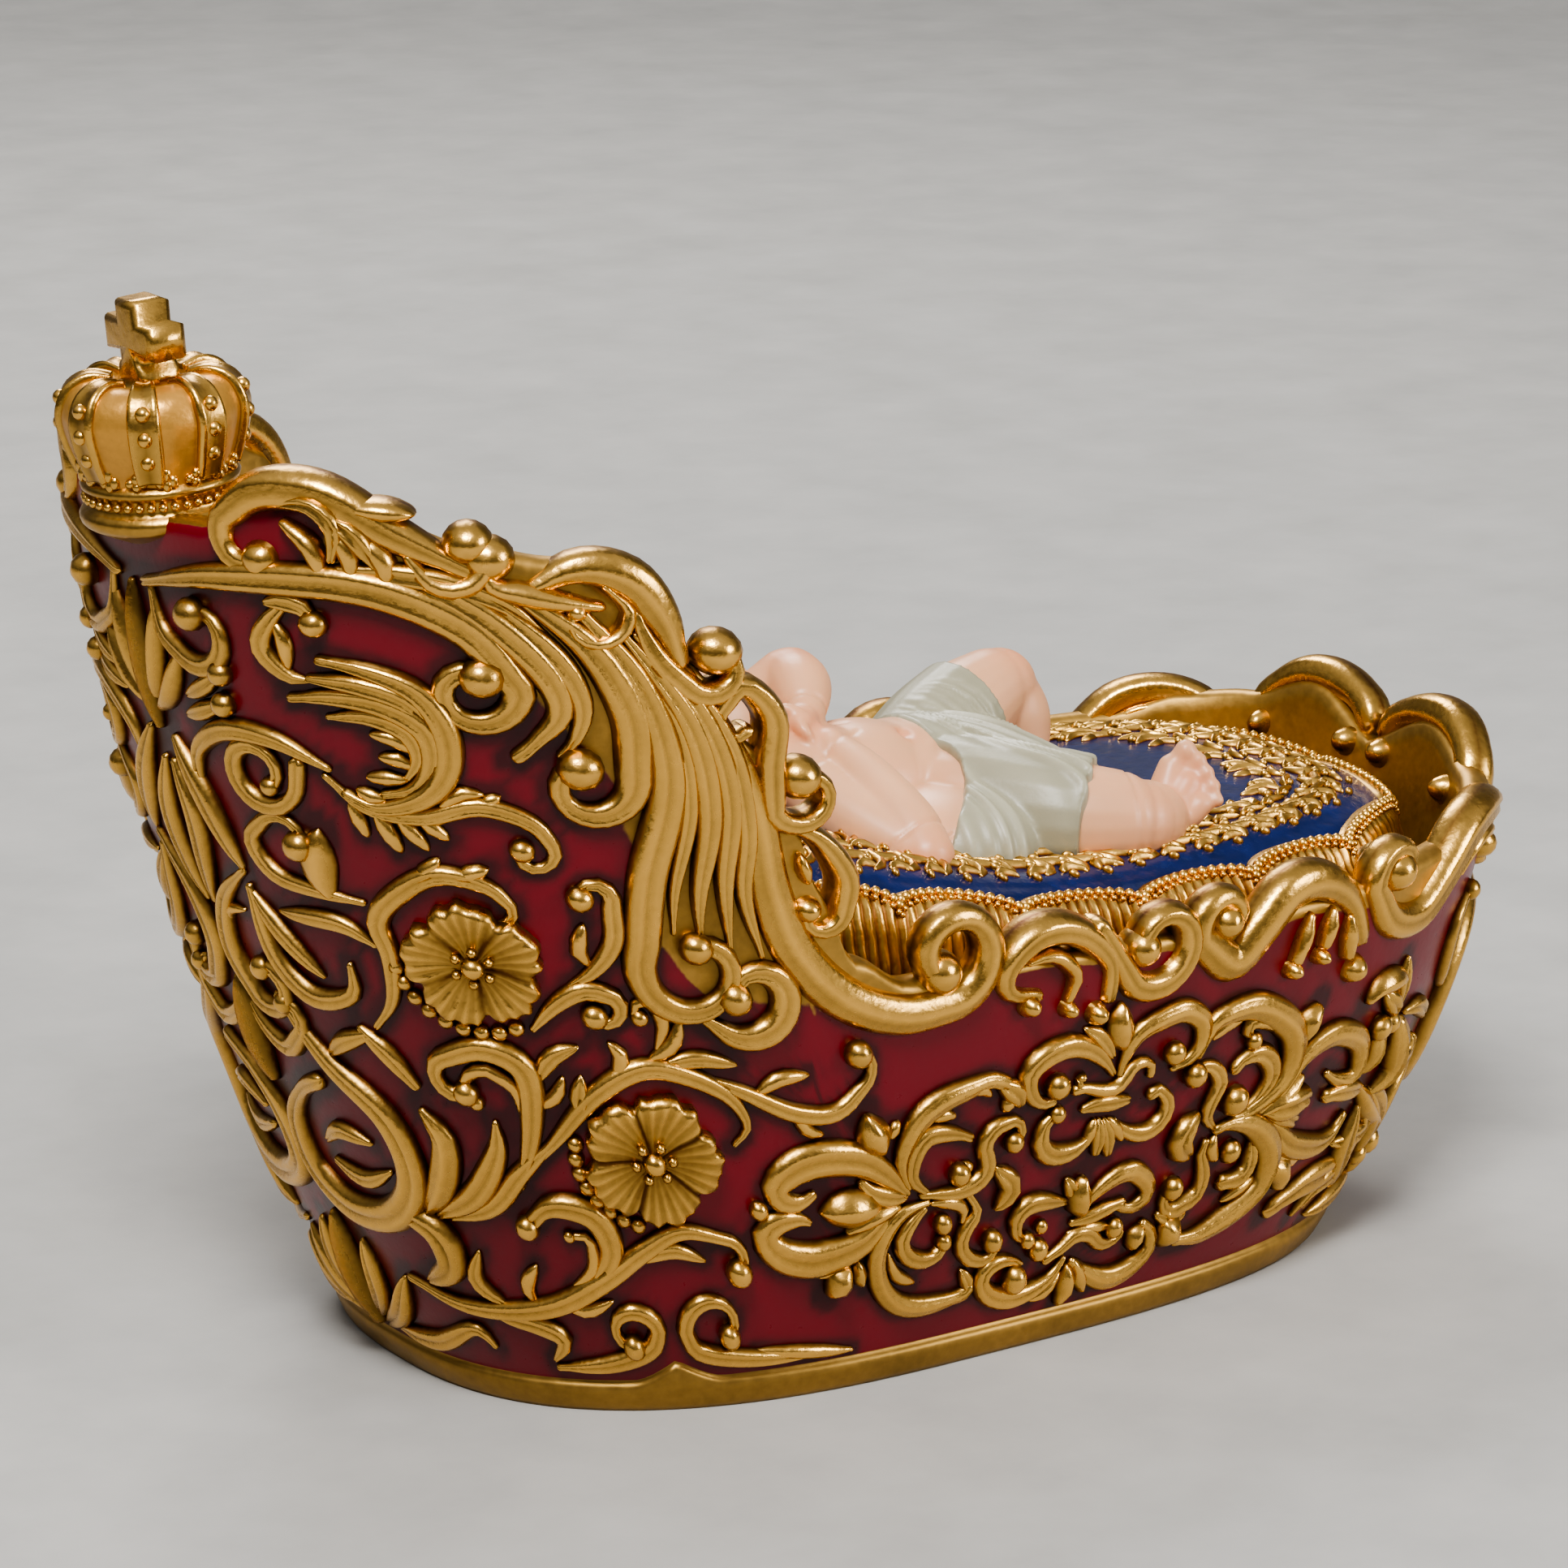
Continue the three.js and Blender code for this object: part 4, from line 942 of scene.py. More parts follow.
def pearl_paint():
    """Pearly grey green, with painted shade in the folds and a painted highlight on their ridges."""
    paint = Paint("pearl_paint", Coat_Weight=0.15, Coat_Roughness=0.4)
    patch, grain = paint.noise(130), paint.noise(1800, 2)
    # painted light: darker between the folds and lighter on their ridges, by the folds' tone
    fold = paint.attribute("raised") + (patch - 0.5) * 0.5
    stops = [(0.0, (0.23, 0.21, 0.135)), (0.5, (0.32, 0.295, 0.2)), (1.0, (0.41, 0.385, 0.275))]
    colour = paint.ramp(fold, stops)
    return paint.finish(grain + patch, 0.0001, 0.25, Base_Color=colour, Roughness=0.42 + (grain - 0.5) * 0.12)


def brown_hair():
    """Matt brown, with a painted highlight on the curls' tops and painted shade in the hollows between them.
    """
    paint = Paint("brown_hair")
    patch, grain = paint.noise(200), paint.noise(1500)
    # painted light: lighter where the curls stand up, darker in the hollows between them
    tone = paint.attribute("raised") + (patch - 0.5) * 0.4 + (grain - 0.5) * 0.3
    stops = [(0.1, (0.05, 0.022, 0.009)), (0.5, (0.2, 0.1, 0.04)), (0.95, (0.42, 0.25, 0.11))]
    colour = paint.ramp(tone, stops)
    return paint.finish(grain + patch, 0.00015, 0.35, Base_Color=colour, Roughness=0.5 + (grain - 0.5) * 0.15)


def put_paint(key):
    """Each finish is made once and shared."""
    gold, wash = chosen("gold"), chosen("wash")
    makers = {
        "antique_gold": lambda: gold_paint(key, gold, wash),
        "panel_gold": lambda: gold_paint(key, shade(gold, 0.95, 0.82, 0.65), shade(gold, 0.6), 0.32, 0.6),
        "thread_gold": lambda: gold_paint(key, shade(gold, 1.08), shade(wash, 1.6), 0.3),
        "wine_red_and_gold": wall_paint,
        "blue_gloss": cushion_paint,
        "flesh_paint": flesh_paint,
        "pearl_paint": pearl_paint,
        "brown_hair": brown_hair,
    }
    return bpy.data.materials.get(key) or makers[key]()


# Sizes and colours that a user would change

def length(name, description, default):
    """A length in metres for the sidebar."""
    return bpy.props.FloatProperty(name=name, description=description, default=default, unit="LENGTH",
                                   subtype="DISTANCE")


def colour(name, description, default):
    """A colour for the sidebar."""
    return bpy.props.FloatVectorProperty(name=name, description=description, default=default, size=3,
                                         subtype="COLOR", min=0, max=1)


class CradleSizes(bpy.types.PropertyGroup):
    tub_top: length("Headboard height", "Height of the tub's wall at the headboard", 0.130)
    wall: length("Wall", "Thickness of the tub's wall", 0.005)
    rim_out: length("Rim outwards", "How far the rim's scrolls stand out of the wall", 0.0024)
    rim_in: length("Rim inwards", "How far the rim's scrolls reach into the tub", 0.005)
    band: length("Base band", "Height of the plain band at the bottom", 0.0042)


class CradleColours(bpy.types.PropertyGroup):
    gold: colour("Gold", "Gold paint on the carving", (0.66, 0.385, 0.1))
    wash: colour("Wash", "Brown wash in the hollows", (0.12, 0.048, 0.014))
    ground: colour("Ground", "Red paint between the carving", (0.13, 0.0022, 0.008))
    cloth: colour("Cushion", "Blue paint of the cushion", (0.004, 0.01, 0.062))
    skin: colour("Skin", "Flesh paint", (0.69, 0.36, 0.195))


# The cradle's operators

TUB_AROUND = 360
WALL_ROWS = 84
INSIDE_ROWS = 26
BAND_TONE, WALL_TONE = 0.75, 0.35


class BuildShell(bpy.types.Operator):
    """Tub: the wall, its edge, the inside and the base band, as one closed surface"""
    bl_idname = "cradle.shell"
    bl_label = "Tub"

    def execute(self, context):
        sizes = context.scene.cradle_sizes
        wall, band = sizes.wall / MM, sizes.band / MM
        half = WALK[1][-1]
        s = np.linspace(-half, half, TUB_AROUND + 1)[:-1][None]
        edge = edge_height(s)
        # the band rises to a low point on either side, 61.5 mm round from the headboard
        mound = 3.2 * np.clip(1 - np.abs(np.abs(s) - 61.5) / 8, 0, 1) ** 1.4
        rows, gilt = [], []

        def add(points, gold):
            """Takes one ring and whether it is gilded."""
            rows.append(np.broadcast_to(points, (1, s.shape[1], 3))[0])
            gilt.append(np.broadcast_to(gold, s.shape)[0].astype(float))

        def flat(share, z):
            """A ring on a level face: the inside's outline scaled by a share."""
            ring = chart(s, z, -wall) * [share, share, 1]
            ring[..., 2] = z
            return ring

        for share in (0.02, 0.3, 0.6, 0.9, 0.985):
            add(flat(share, 0.0), 1)
        underside = len(rows)
        for z, over in ((0, 0.5), (0.3, 1.0), (1.2, 1.2), (band - 1.0, 1.2)):
            add(chart(s, z, over), 1)
        for lift, over in ((-0.2, 1.05), (0.3, 0.6), (0.5, 0.0)):
            add(chart(s, band + mound + lift, over), 1)
        low = band + mound + 0.8
        outer = slice(len(rows), len(rows) + WALL_ROWS)
        for share in np.linspace(0, 1, WALL_ROWS) ** 0.95:
            z = low + (edge - low) * share
            add(chart(s, z, 0.0), inside_polygon(np.abs(s), z, GILT))
        for a in np.radians([45, 90, 135]):
            add(chart(s, edge + 1.4 * np.sin(a), -wall / 2 * (1 - np.cos(a))), 1)
        for share in np.linspace(1, 0, INSIDE_ROWS):
            z = FLOOR + 4 + (edge - FLOOR - 4) * share
            add(chart(s, z, -wall), 1)
        for share, z in ((0.985, FLOOR + 1), (0.95, FLOOR), (0.5, FLOOR), (0.02, FLOOR)):
            add(flat(share, z), 1)
        grid = np.stack(rows)
        mask = np.stack(gilt)
        mask[outer] = soften(mask[outer])
        tone = np.full(mask.shape, WALL_TONE)
        tone[underside:outer.start] = BAND_TONE
        # the outer wall's tone is its closeness to the carving, which the wall's paint turns into painted
        # shade
        tone[outer] = closeness(np.broadcast_to(np.abs(s), (WALL_ROWS, s.shape[1])), grid[outer, :, 2])
        heap = Heap()
        heap.rings(grid, tone)
        shell = heap.piece("cradle_tub", put_paint("wine_red_and_gold"), "cradle")
        keep_tone(shell.data, "gilt", np.concatenate([mask.ravel(), [1, 1]]))
        return {"FINISHED"}


class BuildRim(bpy.types.Operator):
    """Rim: the scrolls, leaves and balls that stand on the wall's edge, alike on both sides"""
    bl_idname = "cradle.rim"
    bl_label = "Rim scrolls"

    def execute(self, context):
        heap = Heap()
        for mirror in (1, -1):
            for spec in RIM:
                roll(heap, mirror, **spec)
            for at, radius in RIM_BALLS:
                dome(heap, mirror, at, radius, -2.4, thick=5.3, rows=9, around=16)
        heap.piece("cradle_rim", put_paint("antique_gold"), "cradle")
        return {"FINISHED"}


class BuildCarving(bpy.types.Operator):
    """Carving: strands, vines, scrolls and cartouches on the outside, alike on both sides"""
    bl_idname = "cradle.carving"
    bl_label = "Carving"

    def execute(self, context):
        for name, group in all_carving().items():
            heap = Heap()
            for mirror in (1, -1):
                for spec in group:
                    carve(heap, mirror, **spec)
            heap.piece("cradle_" + name, put_paint("antique_gold"), "cradle")
        return {"FINISHED"}


class BuildFlowers(bpy.types.Operator):
    """Flowers: two open flowers with their berries on each side of the headboard"""
    bl_idname = "cradle.flowers"
    bl_label = "Flowers"

    def execute(self, context):
        heap = Heap()
        for mirror in (1, -1):
            for centre, radius, phase, ring, angles, berry in BLOOMS:
                bloom(heap, mirror, centre, radius, phase)
                for degrees in angles:
                    dome(heap, mirror, off(centre, ring, math.radians(degrees)), berry, 0.3, rows=5, around=9)
            for at, radius in CARTOUCHE_BALLS:
                dome(heap, mirror, at, radius, 0.6)
        heap.piece("cradle_flowers", put_paint("antique_gold"), "cradle")
        return {"FINISHED"}


# Crown, in its own upright millimetres: radius or across, and height over the headboard

CROWN = dict(x=-101.1, z=130.4, lean=4.8)
CROWN_BALL = [(7.5, 1.0), (9.6, 4.4), (10.3, 6.8), (11.4, 9.8), (12.2, 13.0), (12.2, 15.4), (10.9, 18.0),
              (8.2, 19.2), (5.2, 18.6), (2.2, 17.0)]
CROWN_RING = [(5.0, -3.6), (9.0, -1.6), (10.9, -0.5), (11.35, 0.3), (11.4, 1.0), (10.9, 1.7), (10.35, 2.0),
              (10.15, 2.4), (10.15, 4.0), (10.5, 4.3), (10.95, 4.7), (10.95, 5.2), (10.6, 5.6), (10.2, 5.9),
              (9.6, 6.6), (8.6, 7.0)]
CROWN_KNOB = [(0.4, 16.6), (4.4, 17.0), (5.0, 17.9), (4.3, 18.6), (3.0, 18.9), (0.4, 19.0)]
CROSS = [(3.9, 17.2), (3.7, 20.0), (2.75, 20.9), (2.9, 22.5), (6.5, 22.2), (6.5, 27.0), (2.85, 26.8),
         (2.95, 29.7)]
CROSS_DEPTHS = [(-3.0, 1.1), (-2.85, 0.55), (-2.5, 0.2), (-2.0, 0), (2.0, 0), (2.5, 0.2), (2.85, 0.55),
                (3.0, 1.1)]
ARCHES = 8
ARCH_BEADS = [(11.75, 10.0), (12.6, 13.4), (12.3, 16.8)]
RING_RADIUS = 10.35
PEARLS = 40
LEAVES = 16


def lean_back(x, y, z):
    """A point of the upright crown, turned back about the across direction and set on the headboard."""
    tilt = math.radians(CROWN["lean"])
    return np.stack([CROWN["x"] + x * math.cos(tilt) - z * math.sin(tilt), y,
                     CROWN["z"] + x * math.sin(tilt) + z * math.cos(tilt)], -1)


def on_crown(radius, angle, z):
    """A point of the crown from its own radius, turn and height, leaned back over the headboard."""
    x, y = radius * np.cos(angle), radius * np.sin(angle)
    return lean_back(*np.broadcast_arrays(x, y, np.asarray(z, float)))


def globe(heap, centre, radii, rows, around, tone, turn=None):
    """An ellipsoid: the unit sphere's points scaled by three radii, turned, and moved to a centre."""
    tilt = np.linspace(0.05, 0.95, rows)[:, None] * np.pi
    spin = full_turn(around)[None]
    ball = np.broadcast_arrays(np.sin(tilt) * np.cos(spin), np.sin(tilt) * np.sin(spin), np.cos(tilt))
    points = np.stack(ball, -1) * radii
    heap.rings((points @ np.asarray(turn).T if turn is not None else points) + centre, tone)


def revolve(heap, profile, around=96, tone=0.6, wave=0.0):
    """A smooth profile of radius and height turned round the crown's axis, waving once to an arch."""
    path = even(spline(profile), 0.55)[0]
    spin = full_turn(around)[None]
    heap.rings(on_crown(path[:, :1] * (1 + wave * np.cos(ARCHES * spin)), spin, path[:, 1:]), tone)


def crown_arch(heap, angle):
    """A band over the ball: the ball's profile moved out along its normal, with a ridge along either edge."""
    path = even(spline(CROWN_BALL[2:9]), 0.7)[0]
    out = np.gradient(path, axis=0)
    out = unit(np.stack([out[:, 1], -out[:, 0]], -1))
    across = np.array([-1, -0.96, -0.8, -0.6, -0.3, 0, 0.3, 0.6, 0.8, 0.96, 1.0])
    rise = np.array([-0.7, 0.6, 1.0, 0.9, 0.72, 0.68, 0.72, 0.9, 1.0, 0.6, -0.7])
    wide = 2.35 * (0.3 + 0.7 * np.clip(path[:, :1] / 12.0, 0, 1) ** 1.6) * np.ones((1, len(across)))
    ends = np.minimum(np.arange(len(path)), np.arange(len(path))[::-1])[:, None]
    rise = np.where(ends > 0, rise[None], -0.6)
    radius = path[:, :1] + out[:, :1] * rise
    z = path[:, 1:] + out[:, 1:] * rise
    heap.rings(on_crown(radius, angle + across[None] * wide / np.maximum(radius, 3), z),
               np.where(rise > 0.5, 0.45 + 0.4 * np.abs(across[None]), 0.1))
    for r, height in ARCH_BEADS:
        globe(heap, on_crown(r, angle, height), (1.12,) * 3, 7, 12, 0.9)


def crown_cross(heap):
    """The cross: its half outline mirrored, in slices along its depth that draw in at both faces."""
    half = np.array(CROSS)
    outline = np.vstack([half, half[::-1] * [-1, 1]])
    middle = np.array([0, 24.5])
    slices = []
    for depth, inset in CROSS_DEPTHS:
        drawn_in = outline - np.sign(outline - middle) * inset * [1, 0.8]
        slices.append(np.column_stack([np.full(len(outline), depth), drawn_in]))
    cross = np.stack(slices)
    heap.rings(lean_back(cross[..., 0], cross[..., 1], cross[..., 2]), 0.72)


class BuildCrown(bpy.types.Operator):
    """Crown: smooth panels, eight beaded arches, a ring with pearls and leaves, and the cross"""
    bl_idname = "cradle.crown"
    bl_label = "Crown"

    def execute(self, context):
        panels = Heap()
        revolve(panels, CROWN_BALL, around=128, tone=0.7, wave=-0.012)
        panels.piece("crown_panels", put_paint("panel_gold"), "cradle")
        heap = Heap()
        revolve(heap, CROWN_RING)
        for k in range(ARCHES):
            crown_arch(heap, (k + 0.25) * 2 * math.pi / ARCHES)
        for k in range(PEARLS):
            globe(heap, on_crown(RING_RADIUS, k * 2 * math.pi / PEARLS, 3.2), (0.66, 0.66, 0.66), 6, 9, 0.9)
        for k in range(LEAVES):
            a = k * 2 * math.pi / LEAVES
            tall = 1.0 if k % 2 else 0.7
            parts = ((0, 1.6 * tall, 1.0), (-0.085, 0.5, 0.85), (0.085, 0.5, 0.85), (0, 0, 0.9))
            for spread, lift, size in parts:
                globe(heap, on_crown(RING_RADIUS + 0.12 * lift, a + spread, 6.3 + lift),
                      (0.75, 0.85 * size, 1.15 * size * tall), 6, 9, 0.85)
        revolve(heap, CROWN_KNOB, 40)
        crown_cross(heap)
        heap.piece("crown", put_paint("antique_gold"), "cradle")
        return {"FINISHED"}


# Cushion

# Height of each row of the cushion's side, and its gap to the tub
CUSHION_ROWS = np.array([(10.3, 13), (16, 8), (38, 8), (52, 10.5), (62, 14.5), (64.8, 19)], float)
CUSHION_TOP = 66.2
RAMP = dict(start=18, slope=0.29, soft=8, top=17)
CUSHION_AROUND = 280
SIDE_ROWS = 40
TOP_SHARES = (0.01, 0.03, 0.06, 0.1, 0.16, 0.25, 0.4, 0.6, 0.8, 0.97)  # of the way from edge to middle
MOTIF_LENGTH = 6.4
MOTIF = [([(0, 2), (2.5, 4.2), (2, 7.4), (5, 9.6)], 2.2), ([(0.4, 9), (3, 6.4), (6.4, 6), (7.6, 3)], 2.1),
         ([(3.2, 2), (5.4, 3.5), (7.6, 2.2)], 1.7), ([(1, 11.5), (4, 12.4), (7, 10.6)], 1.6)]
MOTIF_BERRIES = [((1.1, 5.6), 0.95), ((5.2, 8.4), 0.85), ((6.3, 4.5), 0.75), ((3.6, 0.9), 0.7),
                 ((2.4, 11.0), 0.7)]
SPRIG = [[(0, 12.5), (2.6, 15.2), (1.2, 18.6)], [(1.4, 13.5), (4.6, 14.6), (5.8, 17.4)],
         [(0.6, 15), (-1.6, 16.6), (-1.8, 19)]]
SCALLOPS = 20
LACE_REACH = 46  # how far down the side the skirt starts
RIB = 1.75
LACE_BEADS = ((-0.2, 0.85, 1.75), (2.4, 0.5, 1.6))  # below the scallops' line, radius, spacing


def cushion_rise(x):
    """The head end's lift: a soft corner at the start, then a straight slope, then a level end."""
    corner = RAMP["soft"] * np.log1p(np.exp((RAMP["start"] - x) / RAMP["soft"]))
    return RAMP["top"] * np.tanh(RAMP["slope"] * corner / RAMP["top"])


def cushion_side(angle, row):
    """A point of the cushion's side: row runs from 0 at the bottom to 1 at the edge, on a smooth profile."""
    path = spline(CUSHION_ROWS)
    t = np.clip(np.asarray(row, float), 0, 1) * (len(path) - 1)
    z = np.interp(t, np.arange(len(path)), path[:, 0])
    gap = np.interp(t, np.arange(len(path)), path[:, 1])
    point = on_tub(angle, z, gap)
    point[..., 2] += cushion_rise(point[..., 0]) * ease((z - 20) / 40)
    return point


def cushion_edge(angle):
    """A point of the cushion's upper edge, before the head end's lift."""
    z_edge, gap = CUSHION_ROWS[-1]
    return on_tub(angle, z_edge, gap)


def cushion_turn(u):
    """The plan angle at a distance round the cushion's edge, past the end and round again too."""
    return np.interp(np.asarray(u, float) % CUSHION_WALK[1][-1], CUSHION_WALK[1], CUSHION_WALK[0])


def cushion_top(u, v, over=0.0):
    """A point on the top: u runs round the edge in millimetres, v inwards from it, and over is added in z.

    The top is a parabola from its middle to the edge, with a puffed margin that grows to a millimetre."""
    edge = cushion_edge(cushion_turn(u))
    share = 1 - np.asarray(v, float) / np.linalg.norm(edge[..., :2], axis=-1)
    x, y = edge[..., 0] * share, edge[..., 1] * share
    puff = 1 - np.exp(-np.clip(np.asarray(v, float), 0, None) / 3.0)
    z_edge = CUSHION_ROWS[-1][0]
    z = CUSHION_TOP + (z_edge - CUSHION_TOP) * share ** 2 + cushion_rise(x) + over + puff - 1.0 * (share < 0)
    return np.stack(np.broadcast_arrays(x, y, z), -1)


def cushion_walk():
    """Plan angles once round the cushion's edge, and the distance to each."""
    angle = np.linspace(-np.pi, np.pi, 6001)
    return angle, run_along(cushion_edge(angle))


def skirt_point(angle, down, out):
    """A point on the side, down from the edge in millimetres, moved out along the side's normal in plan."""
    row = np.clip(1 - np.asarray(down, float) / 60.0, 0, 1)
    along = cushion_side(angle + 0.01, row) - cushion_side(angle - 0.01, row)
    normal = unit(np.stack([along[..., 1], -along[..., 0], 0 * along[..., 0]], -1))
    return cushion_side(angle, row) + normal * np.asarray(out, float)[..., None]


def cushion_body():
    """The side's rows, rippled by two slow sines round it, and the top's rings from the edge inwards."""
    u = np.linspace(0, CUSHION_WALK[1][-1], CUSHION_AROUND + 1)[:-1]
    side = cushion_side(cushion_turn(u)[None], np.linspace(0, 1, SIDE_ROWS)[:, None])
    up = np.sin(np.linspace(0, 3.1, SIDE_ROWS))[:, None]
    side[..., 2] += 0.35 * np.sin(u / 3.1)[None] * np.sin(u / 7.7 + 1)[None] * up
    reach_in = np.linalg.norm(cushion_top(u, 0)[..., :2], axis=-1)
    top = np.stack([cushion_top(u, reach_in * share) for share in TOP_SHARES])
    heap = Heap()
    heap.rings(np.concatenate([side, top]), 0.5)
    heap.piece("cushion_body", put_paint("blue_gloss"), "cushion")


def embroidery():
    """Leaves and berries in a motif repeated round the edge, each a little off its place, and sprigs."""
    chance = np.random.default_rng(7)
    heap = Heap()
    count = int(CUSHION_WALK[1][-1] / MOTIF_LENGTH)
    pitch = CUSHION_WALK[1][-1] / count
    leaf = dict(kind="crest", start=0.3, ground=cushion_top)
    berry = dict(over=0.3, rows=5, around=8, ground=cushion_top)
    for k in range(count):
        for line, width in MOTIF:
            shift = chance.uniform(-0.45, 0.45, (len(line), 2))
            moved = [(k * pitch + a + i, b + j) for (a, b), (i, j) in zip(line, shift)]
            carve(heap, 1, moved, width, high=1.1, end=0.25, step=1.4, **leaf)
        for (a, b), radius in MOTIF_BERRIES:
            i, j = chance.uniform(-0.3, 0.3, 2)
            dome(heap, 1, (k * pitch + a + i, b + j), radius, **berry)
        for line in SPRIG if k % 2 else SPRIG[1:2]:
            carve(heap, 1, [(k * pitch + a, b) for a, b in line], 2.1, high=0.9, end=0.3, step=1.5, **leaf)
        dome(heap, 1, (k * pitch + 2.8, 17.6 if k % 2 else 14), 0.8, **berry)
    heap.piece("cushion_embroidery", put_paint("thread_gold"), "cushion")


def lace():
    """The skirt: ribs as a cosine round it, a scalloped edge as a power of a sine, and two rows of beads."""
    heap = Heap()
    length = CUSHION_WALK[1][-1]
    fine = np.linspace(0, length, SCALLOPS * 40 + 1)[:-1]
    turn = cushion_turn(fine)
    high = 12.2 - 6.4 * np.abs(np.sin(np.pi * fine / (length / SCALLOPS))) ** 0.55
    ribs = 0.38 * np.cos(2 * np.pi * fine / RIB)
    down = high[None] + (LACE_REACH - high[None]) * np.linspace(1, 0, 20)[:, None] ** 0.8
    out = 1.5 + ribs[None] * np.clip((down - high[None]) / 1.5, 0, 1) + np.sin(down * 1.5) * 0.16

    def behind(line, stand):
        """A line of the skirt's edge or back, so far out from the side."""
        return skirt_point(turn[None], line, np.full((1, len(fine)), stand))

    grid = [behind(down[:1] + 0.3, -0.6), skirt_point(turn[None], down, out), behind(high[None] - 0.6, 1.0),
            behind(high[None] - 0.3, -0.6)]
    plain = 0 * ribs[None]
    tone = 0.5 + 0.9 * np.concatenate([plain, np.broadcast_to(ribs, down.shape), plain, plain])
    heap.rings(np.concatenate(grid), tone, loop=True)
    run = np.concatenate([[0], np.cumsum(np.hypot(np.diff(fine), np.diff(high)))])
    for rise, size, gap in LACE_BEADS:
        at = np.arange(0, run[-1], gap)
        for a, d in zip(np.interp(at, run, turn), np.interp(at, run, high)):
            globe(heap, skirt_point(np.array(a), d + rise, np.array(1.8)), (size,) * 3, 5, 8, 0.9)
    heap.piece("cushion_lace", put_paint("thread_gold"), "cushion")


class BuildCushion(bpy.types.Operator):
    """Cushion: the blue body, the raised gold embroidery along its edge, and the beaded lace skirt"""
    bl_idname = "cradle.cushion"
    bl_label = "Cushion"

    def execute(self, context):
        cushion_body()
        embroidery()
        lace()
        return {"FINISHED"}


# Infant, in the tub's own millimetres

def limb(heap, joints, flat=1.0, square=False):
    """Round sections along a smooth curve through joints of (x, y, z, radius), with domed or flat ends."""
    path = even(spline(joints), 0.9)[0]
    along = unit(np.gradient(path[:, :3], axis=0))
    side = unit(np.cross(along, [0.05, 0.1, 1.0]))
    up = np.cross(side, along)
    spin = full_turn(20)[None, :, None]

    def ring(centre, radius, k):
        """Circles round centres, in the plane of the side and up directions of the cuts k."""
        return centre + (side[k, None] * np.cos(spin) + up[k, None] * np.sin(spin) * flat) * radius

    grid = ring(path[:, None, :3], path[:, 3, None, None], slice(None))
    if not square:
        a = np.radians([72, 54, 36, 18])[:, None, None]
        first = path[0, :3] - along[0] * np.sin(a) * path[0, 3]
        last = path[-1, :3] + along[-1] * np.sin(a) * path[-1, 3]
        grid = np.concatenate([ring(first, np.cos(a) * path[0, 3], slice(0, 1)), grid,
                               ring(last, np.cos(a) * path[-1, 3], slice(-1, None))[::-1]])
    heap.rings(grid, 0.5)


def lump(heap, centre, radii, tilt=0.0):
    """An ellipsoid turned about the across direction."""
    c, s = math.cos(tilt), math.sin(tilt)
    turn = [[c, 0, s], [0, 1, 0], [-s, 0, c]]
    globe(heap, np.array(centre, float), np.array(radii, float), 24, 32, 0.5, turn)


def fuse(heap, name, voxel, relaxing):
    """One skin round all the shapes of a heap: a voxel remesh and a smoothing, both applied."""
    rough = bpy.data.objects.new(name + "_rough", heap.mesh(name + "_rough"))
    bpy.context.scene.collection.objects.link(rough)
    remesh = rough.modifiers.new("skin", "REMESH")
    remesh.mode, remesh.voxel_size, remesh.use_smooth_shade = "VOXEL", voxel * MM, True
    relax = rough.modifiers.new("relax", "SMOOTH")
    relax.factor, relax.iterations = 0.5, relaxing
    made = bpy.data.meshes.new_from_object(rough.evaluated_get(bpy.context.evaluated_depsgraph_get()))
    bpy.data.objects.remove(rough)
    made.name = name
    return made


def mould(mesh, shape, tone_name, tone):
    """Moves a mesh's points by shape(points, normals), in the tub's millimetres, and keeps tone(points)."""
    count = len(mesh.vertices)
    points, normals = np.empty(count * 3), np.empty(count * 3)
    mesh.vertices.foreach_get("co", points)
    mesh.vertices.foreach_get("normal", normals)
    moved = shape(points.reshape(-1, 3) / MM - [SHIFT, 0, 0], normals.reshape(-1, 3))
    mesh.vertices.foreach_set("co", ((moved + [SHIFT, 0, 0]) * MM).ravel())
    keep_tone(mesh, tone_name, np.clip(tone(moved), 0, 1))
    smooth(mesh)
    mesh.update()


def bump_at(points, centre, spread):
    """A smooth hill: exp of minus the squared distance over the spread, which may differ along x, y and z."""
    return np.exp(-(((points - np.array(centre)) / np.array(spread)) ** 2).sum(-1))


NAVEL = (18.6, -4.4, 81.2)
JOINTS_RED = [((49, 12, 84), 5), ((6, -29, 70), 5), ((44, -29, 71), 4.5), ((51.6, -24, 67), 4),
              ((3, -3, 84), 4), ((10, 12, 91), 5), ((56.6, -25.3, 72.5), 4), (NAVEL, 2)]
BODY_HILLS = [(-1.1, NAVEL, (0.95, 1.1, 1.8)), (0.28, NAVEL, (2.2, 2.4, 3)), (0.22, (7, -5, 83), (3, 3, 3)),
              (0.22, (7, 5, 83), (3, 3, 3))]
# Creases at the ankle, wrists, knee and elbow: a point, the limb's direction there, and the width
CREASES = [((50.2, -25.4, 67.8), (1, 0.45, -0.1), 0.45), ((4.9, -6.6, 81.0), (-0.5, 0.75, 0.35), 0.4),
           ((5.2, 3.2, 84.8), (-0.45, -0.85, -0.3), 0.4), ((43.0, -26.8, 69.2), (1, -0.3, 0), 0.5),
           ((6.2, -25.6, 71.6), (-0.1, 0.85, 0.5), 0.4)]
NEAR_FOOT = [[(51.8, -23.6, 67.4, 3.0), (53.4, -22.8, 71.0, 2.7), (54.9, -22.2, 74.4, 2.1)],
             [(52.0, -24.2, 67.0, 3.0), (54.2, -24.6, 69.6, 2.9), (56.0, -24.7, 72.2, 2.1)],
             [(52.2, -24.6, 66.6, 2.9), (54.6, -26.0, 67.8, 2.6), (56.6, -27.1, 69.4, 1.9)]]
